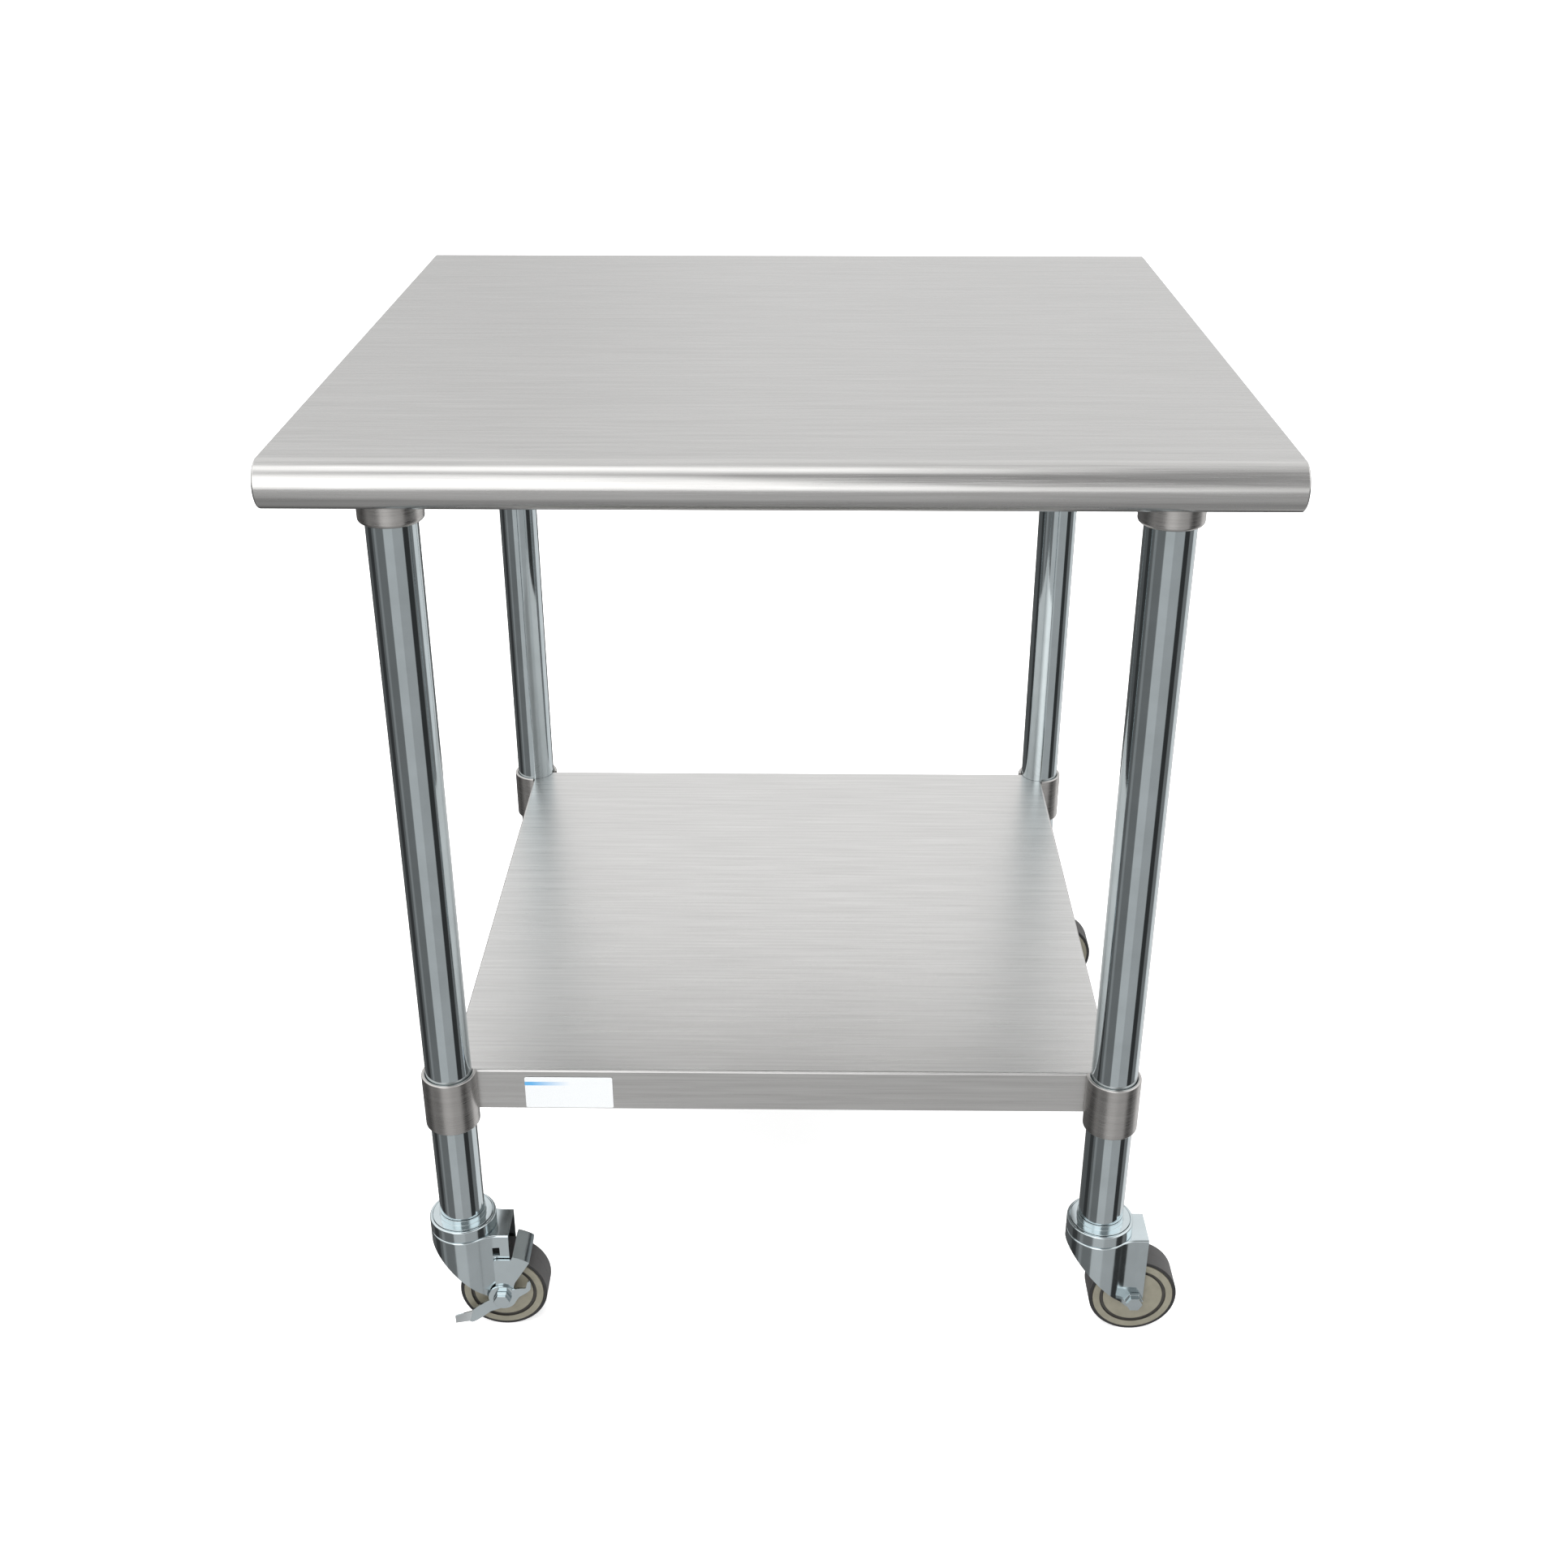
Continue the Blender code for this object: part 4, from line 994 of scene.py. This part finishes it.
def lever_mesh():
    """Plate with a hub on the axle, a long arm to a foot pad, and a short release arm."""

    def points(*places):
        """Points of the outline given in millimetres, as x from the leg's axis and z."""
        return [(x * MM, z * MM) for x, z in places]

    crease_top = (4.4 * MM, 23.7 * MM)
    crease_foot = (1.2 * MM, 11.4 * MM)
    outline = arc(AXLE, LEVER_HUB, 196, 44, 30)
    outline += points((50, 51.5), (56.6, 51.5), (58.6, 59.4), (60.2, 60.4), (61.8, 58.6), (61.4, 51),
                      (58, 47), (50, 41.4))
    outline += arc(AXLE, LEVER_HUB, -20, -100, 18)
    outline += points((22, 23.5), (15.2, 17.6), (8, 12), (3.6, 9.9))
    outline += [crease_foot, crease_top]
    outline += points((10.5, 29.2), (17.5, 34.2))
    plate = prism(rounded(outline, 1.5 * MM, 3), -LEVER_INNER - LEVER_SHEET, -LEVER_INNER, "Y")
    hole = moved(rod(AXLE_RADIUS + GAP, 0, 50 * MM, 48, "Y"), (AXLE[0], 0, AXLE[1]))
    lever = combine(combine(plate, [foot_pad(crease_top, crease_foot)], "UNION"), [hole])
    return soften(lever, 0.45 * MM, angle=40, segments=3)


def on_pad(face):
    """Picks the lighter, rougher plate for the outer face of the lever's foot pad: its roughness is
    scuffing, its lighter colour is painted light.
    """
    middle = face.calc_center_median()
    return 1 if middle.x < 3.5 * MM and face.normal.x > 0.25 and face.normal.y < -0.5 else 0


def build_caster(leg, shared):
    """A whole caster: its own stem and cap, and copies of the shared meshes at the leg or the axle."""
    x, y = leg_place(leg)
    axle = axle_place(leg)
    braked = leg in BRAKED
    spot = (x, y, 0)
    build_stem(leg)
    build_cap(leg)
    copies = [(shared["fork", braked], spot, "fork", "swivel", "caster_steel", [CASTER]),
              (shared["bolt", braked], axle, "axle_bolt", "swivel", "caster_steel", [CASTER]),
              (shared["nut"], axle, "axle_nut", "swivel", "caster_steel", [CASTER]),
              (shared["hub"], axle, "wheel_hub", "wheel", "wheel_core", [CORE, CORE_GROOVE_SHADE]),
              (shared["tyre"], axle, "wheel_tyre", "wheel", "wheel_tread", [TREAD, TYRE_SIDE_SHADE])]
    if braked:
        copies += [(shared["shoe"], spot, "brake_shoe", "shoe", "caster_steel", [CASTER]),
                   (shared["lever"], spot, "brake_lever", "lever", "caster_steel", [CASTER, SCUFFED_LIT])]
    for mesh, place, node, body, slot, materials in copies:
        piece(moved(mesh.copy(), place), node + "_" + leg, body + "_" + leg, slot, materials)


def build_object():
    """Makes every piece of the table."""
    build_table_top()
    for word in ("left", "centre", "right"):
        build_channel("deck_channel_" + word, "table", DECK_CHANNEL_FLOOR)
    build_shelf_pan()
    build_channel("shelf_channel", "shelf", SHELF_CHANNEL_FLOOR)
    build_label()
    shared = {("fork", False): fork_mesh(slotted=False),
              ("fork", True): fork_mesh(slotted=True),
              ("bolt", False): bolt_mesh(FORK_HALF_WIDTH + GAP, *PLAIN_BOLT),
              ("bolt", True): bolt_mesh(LEVER_INNER + LEVER_SHEET + GAP, *BRAKE_BOLT),
              "nut": nut_mesh(),
              "hub": painted(hub_mesh(), in_shaded_groove),
              "tyre": painted(tyre_mesh(), on_shaded_side),
              "shoe": shoe_mesh(),
              "lever": painted(lever_mesh(), on_pad)}
    for leg in LEGS:
        build_socket(leg)
        build_screw("socket_screw", leg, "table")
        build_tube(leg)
        build_collar(leg)
        build_screw("collar_screw", leg, "shelf")
        build_caster(leg, shared)


# ---------------------------------------------------------------- studio

# Cards in a ring below the horizon, as (start, brightness); each ends where the next one starts.
# Bearings run from -Y towards +X in degrees.
CARDS = ((-180, 0.12), (-112, 0.05), (-88, 0.15), (-76, 0.30), (-64, 0.20), (-28, 0.59), (11, 0.46),
         (56, 0.045), (82, 0.22), (108, 0.85), (150, 0.14))
CARD_EDGE = 2.0  # half the width, in degrees, of the soft change between two cards
FRONT_REACH = 0.14  # how far the light over the set reaches below the horizon at the front
NADIR = 0.36  # brightness straight below

# Light over the set, as (degrees from the zenith towards -Y, brightness at left, brightness at right).
ARCH = ((-90, 0.80, 0.80), (-72, 0.86, 0.86), (-58, 1.06, 1.06), (-40, 1.04, 1.04), (-20, 0.84, 0.84),
        (-10, 0.95, 0.82), (0, 1.85, 0.62), (14, 1.85, 0.46), (25, 0.80, 0.40), (34, 0.82, 0.34),
        (44, 1.75, 0.36), (60, 1.95, 0.40), (76, 1.95, 0.48), (88, 1.95, 1.00), (100, 1.75, 1.05))
ARCH_DIM = 0.85  # share of the arch's light kept low at the back left
SKY = 0.88  # brightness to the left and right of the arch
SIDE_GLOW = 1.7  # brightness of the lamps high on the left and the right


class WorldNodes:
    """Small steps for the world's shader."""

    def __init__(self, tree):
        self.tree = tree

    def calc(self, operation, *values):
        """A Math node on numbers and sockets."""
        made = self.tree.nodes.new("ShaderNodeMath")
        made.operation = operation
        for socket, value in zip(made.inputs, values):
            if isinstance(value, (int, float)):
                socket.default_value = value
            else:
                self.tree.links.new(value, socket)
        return made.outputs[0]

    def smooth(self, value, start, end):
        """Rises softly from 0 at start to 1 at end."""
        made = self.tree.nodes.new("ShaderNodeMapRange")
        made.interpolation_type = "SMOOTHSTEP"
        self.tree.links.new(value, made.inputs["Value"])
        made.inputs["From Min"].default_value = start
        made.inputs["From Max"].default_value = end
        return made.outputs["Result"]

    def blend(self, factor, first, second):
        """first where the factor is 0, second where it is 1."""
        return self.calc("ADD", self.calc("MULTIPLY", second, factor),
                         self.calc("MULTIPLY", first, self.calc("SUBTRACT", 1, factor)))

    def ramp(self, angle, stops):
        """Brightness between stops of (degrees, brightness)."""
        reach = 180
        peak = 2  # the ramp's colours stay under 1, so they hold brightness as a share of this
        made = self.tree.nodes.new("ShaderNodeValToRGB")
        self.tree.links.new(self.calc("MULTIPLY_ADD", angle, 0.5 / reach, 0.5), made.inputs["Fac"])
        elements = made.color_ramp.elements
        while len(elements) < len(stops):
            elements.new(0.5)
        for element, (degrees, brightness) in zip(elements, stops):
            element.position = 0.5 + 0.5 * degrees / reach
            element.color = (brightness / peak, brightness / peak, brightness / peak, 1)
        return self.calc("MULTIPLY", made.outputs["Color"], peak)


def card_light(w, bearing):
    """Brightness of the ring of cards at a bearing."""
    light = CARDS[-1][1]
    level = light
    for start, brightness in CARDS:
        step = w.smooth(bearing, start - CARD_EDGE, start + CARD_EDGE)
        light = w.calc("ADD", light, w.calc("MULTIPLY", step, brightness - level))
        level = brightness
    return light


def arch_light(w, x, y, z):
    """Brightness above the set: bands across it near the middle, plain sky and a lamp out to each side."""
    angle = w.calc("MULTIPLY", w.calc("ARCTAN2", w.calc("MULTIPLY", y, -1), z), 180 / math.pi)
    left = w.ramp(angle, [(stop[0], stop[1]) for stop in ARCH])
    right = w.ramp(angle, [(stop[0], stop[2]) for stop in ARCH])
    # The seam between the two sets of bands stands upright overhead and leans towards the front.
    lean = w.calc("MULTIPLY_ADD", angle, 0.0035, -0.225)
    seam = w.blend(w.smooth(angle, 22, 38), 0.095, lean)
    offset = w.calc("SUBTRACT", x, seam)
    bands = w.blend(w.smooth(offset, -0.05, 0.06), left, right)
    back_left = w.calc("MULTIPLY", w.smooth(angle, -66, -80), w.smooth(x, 0.0, -0.17))
    bands = w.calc("MULTIPLY", bands, w.blend(back_left, 1, ARCH_DIM))
    width = w.calc("ABSOLUTE", x)
    aside = w.smooth(width, 0.36, 0.62)
    glow = w.calc("MULTIPLY", w.smooth(width, 0.42, 0.60), w.smooth(z, 0.50, 0.62))
    return w.blend(glow, w.blend(aside, bands, SKY), SIDE_GLOW)


def build_world():
    """Studio surround: banded light above, and a ring of light and dark cards below the horizon.

    The camera sees plain white behind the object; only reflections and shading see the bands and cards.
    """
    world = bpy.data.worlds.new("studio")
    bpy.context.scene.world = world
    world.use_nodes = True
    tree = world.node_tree
    tree.nodes.clear()
    w = WorldNodes(tree)
    split = tree.nodes.new("ShaderNodeSeparateXYZ")
    tree.links.new(tree.nodes.new("ShaderNodeTexCoord").outputs["Generated"], split.inputs[0])
    x, y, z = split.outputs
    bearing = w.calc("MULTIPLY", w.calc("ARCTAN2", x, w.calc("MULTIPLY", y, -1)), 180 / math.pi)
    foot = w.smooth(w.calc("MULTIPLY", z, -1), 0.80, 0.97)
    cards = w.blend(foot, card_light(w, bearing), NADIR)
    # The arch reaches a little below the horizon at the front.
    ahead = w.smooth(w.calc("MULTIPLY", y, -1), 0.0, 0.5)
    middle = w.calc("SUBTRACT", 1, w.smooth(w.calc("ABSOLUTE", x), 0.30, 0.50))
    raised = w.calc("MULTIPLY_ADD", w.calc("MULTIPLY", ahead, middle), FRONT_REACH, z)
    glow = w.blend(w.smooth(raised, -0.07, 0.02), cards, arch_light(w, x, y, z))
    shade = tree.nodes.new("ShaderNodeBackground")
    tree.links.new(glow, shade.inputs["Color"])
    plain = tree.nodes.new("ShaderNodeBackground")
    plain.inputs["Color"].default_value = (1, 1, 1, 1)
    choose = tree.nodes.new("ShaderNodeMixShader")
    tree.links.new(tree.nodes.new("ShaderNodeLightPath").outputs["Is Camera Ray"], choose.inputs["Fac"])
    tree.links.new(shade.outputs[0], choose.inputs[1])
    tree.links.new(plain.outputs[0], choose.inputs[2])
    out = tree.nodes.new("ShaderNodeOutputWorld")
    tree.links.new(choose.outputs[0], out.inputs["Surface"])


def softbox(name, place, target, size, power):
    """A soft area light, which the metal's reflections don't show."""
    light = bpy.data.lights.new(name, "AREA")
    light.shape = "RECTANGLE"
    light.size, light.size_y = size
    light.energy = power
    obj = bpy.data.objects.new(name, light)
    bpy.context.scene.collection.objects.link(obj)
    obj.location = place
    obj.rotation_euler = (Vector(target) - Vector(place)).to_track_quat("-Z", "Y").to_euler()
    obj.visible_glossy = False


def build_floor():
    """Plain pale floor, with a little light of its own so that it ends up white."""
    bpy.ops.mesh.primitive_plane_add(size=60, location=(0, 0, -0.5 * MM))
    floor = bpy.context.object
    floor.name = "floor"
    n = Nodes("floor_paper")
    cloud = n.noise((0.8, 0.8, 0.8), 2)
    colour = n.mix(n.span(cloud, 0, 1), (0.93, 0.93, 0.93), (0.95, 0.95, 0.95))
    n.finish(colour, n.span(cloud, 0.9, 0.95), metallic=0.0)
    n.shader.inputs["Emission Color"].default_value = (1, 1, 1, 1)
    n.shader.inputs["Emission Strength"].default_value = 0.55
    n.shader.inputs["Specular IOR Level"].default_value = 0.0
    floor.data.materials.append(n.mat)
    floor.visible_glossy = False


# The photograph's view: place in metres, downward pitch and leftward yaw in degrees, lens in mm.
CAMERA_PLACE = (0.017538, -1.64067, 1.24598)
CAMERA_PITCH = 27.36
CAMERA_YAW = 0.646
CAMERA_LENS = 41.86


def build_camera():
    camera = bpy.data.cameras.new("camera")
    camera.sensor_width = 36
    camera.lens = CAMERA_LENS
    camera.clip_end = 200
    obj = bpy.data.objects.new("camera", camera)
    bpy.context.scene.collection.objects.link(obj)
    obj.location = CAMERA_PLACE
    obj.rotation_mode = "XYZ"
    obj.rotation_euler = (math.radians(90 - CAMERA_PITCH), 0, math.radians(CAMERA_YAW))
    bpy.context.scene.camera = obj


def build_studio():
    build_world()
    build_floor()
    softbox("key", (-0.6, -1.8, 3.2), (0, 0, 0.3), (2.6, 2.2), 60)
    softbox("top", (0.2, 0.8, 3.4), (0, 0, 0.3), (3.2, 2.4), 50)
    build_camera()
    settings = bpy.context.scene.view_settings
    settings.view_transform = "Standard"
    settings.look = "None"
    settings.exposure = 0
    settings.gamma = 1


build_object()
build_studio()
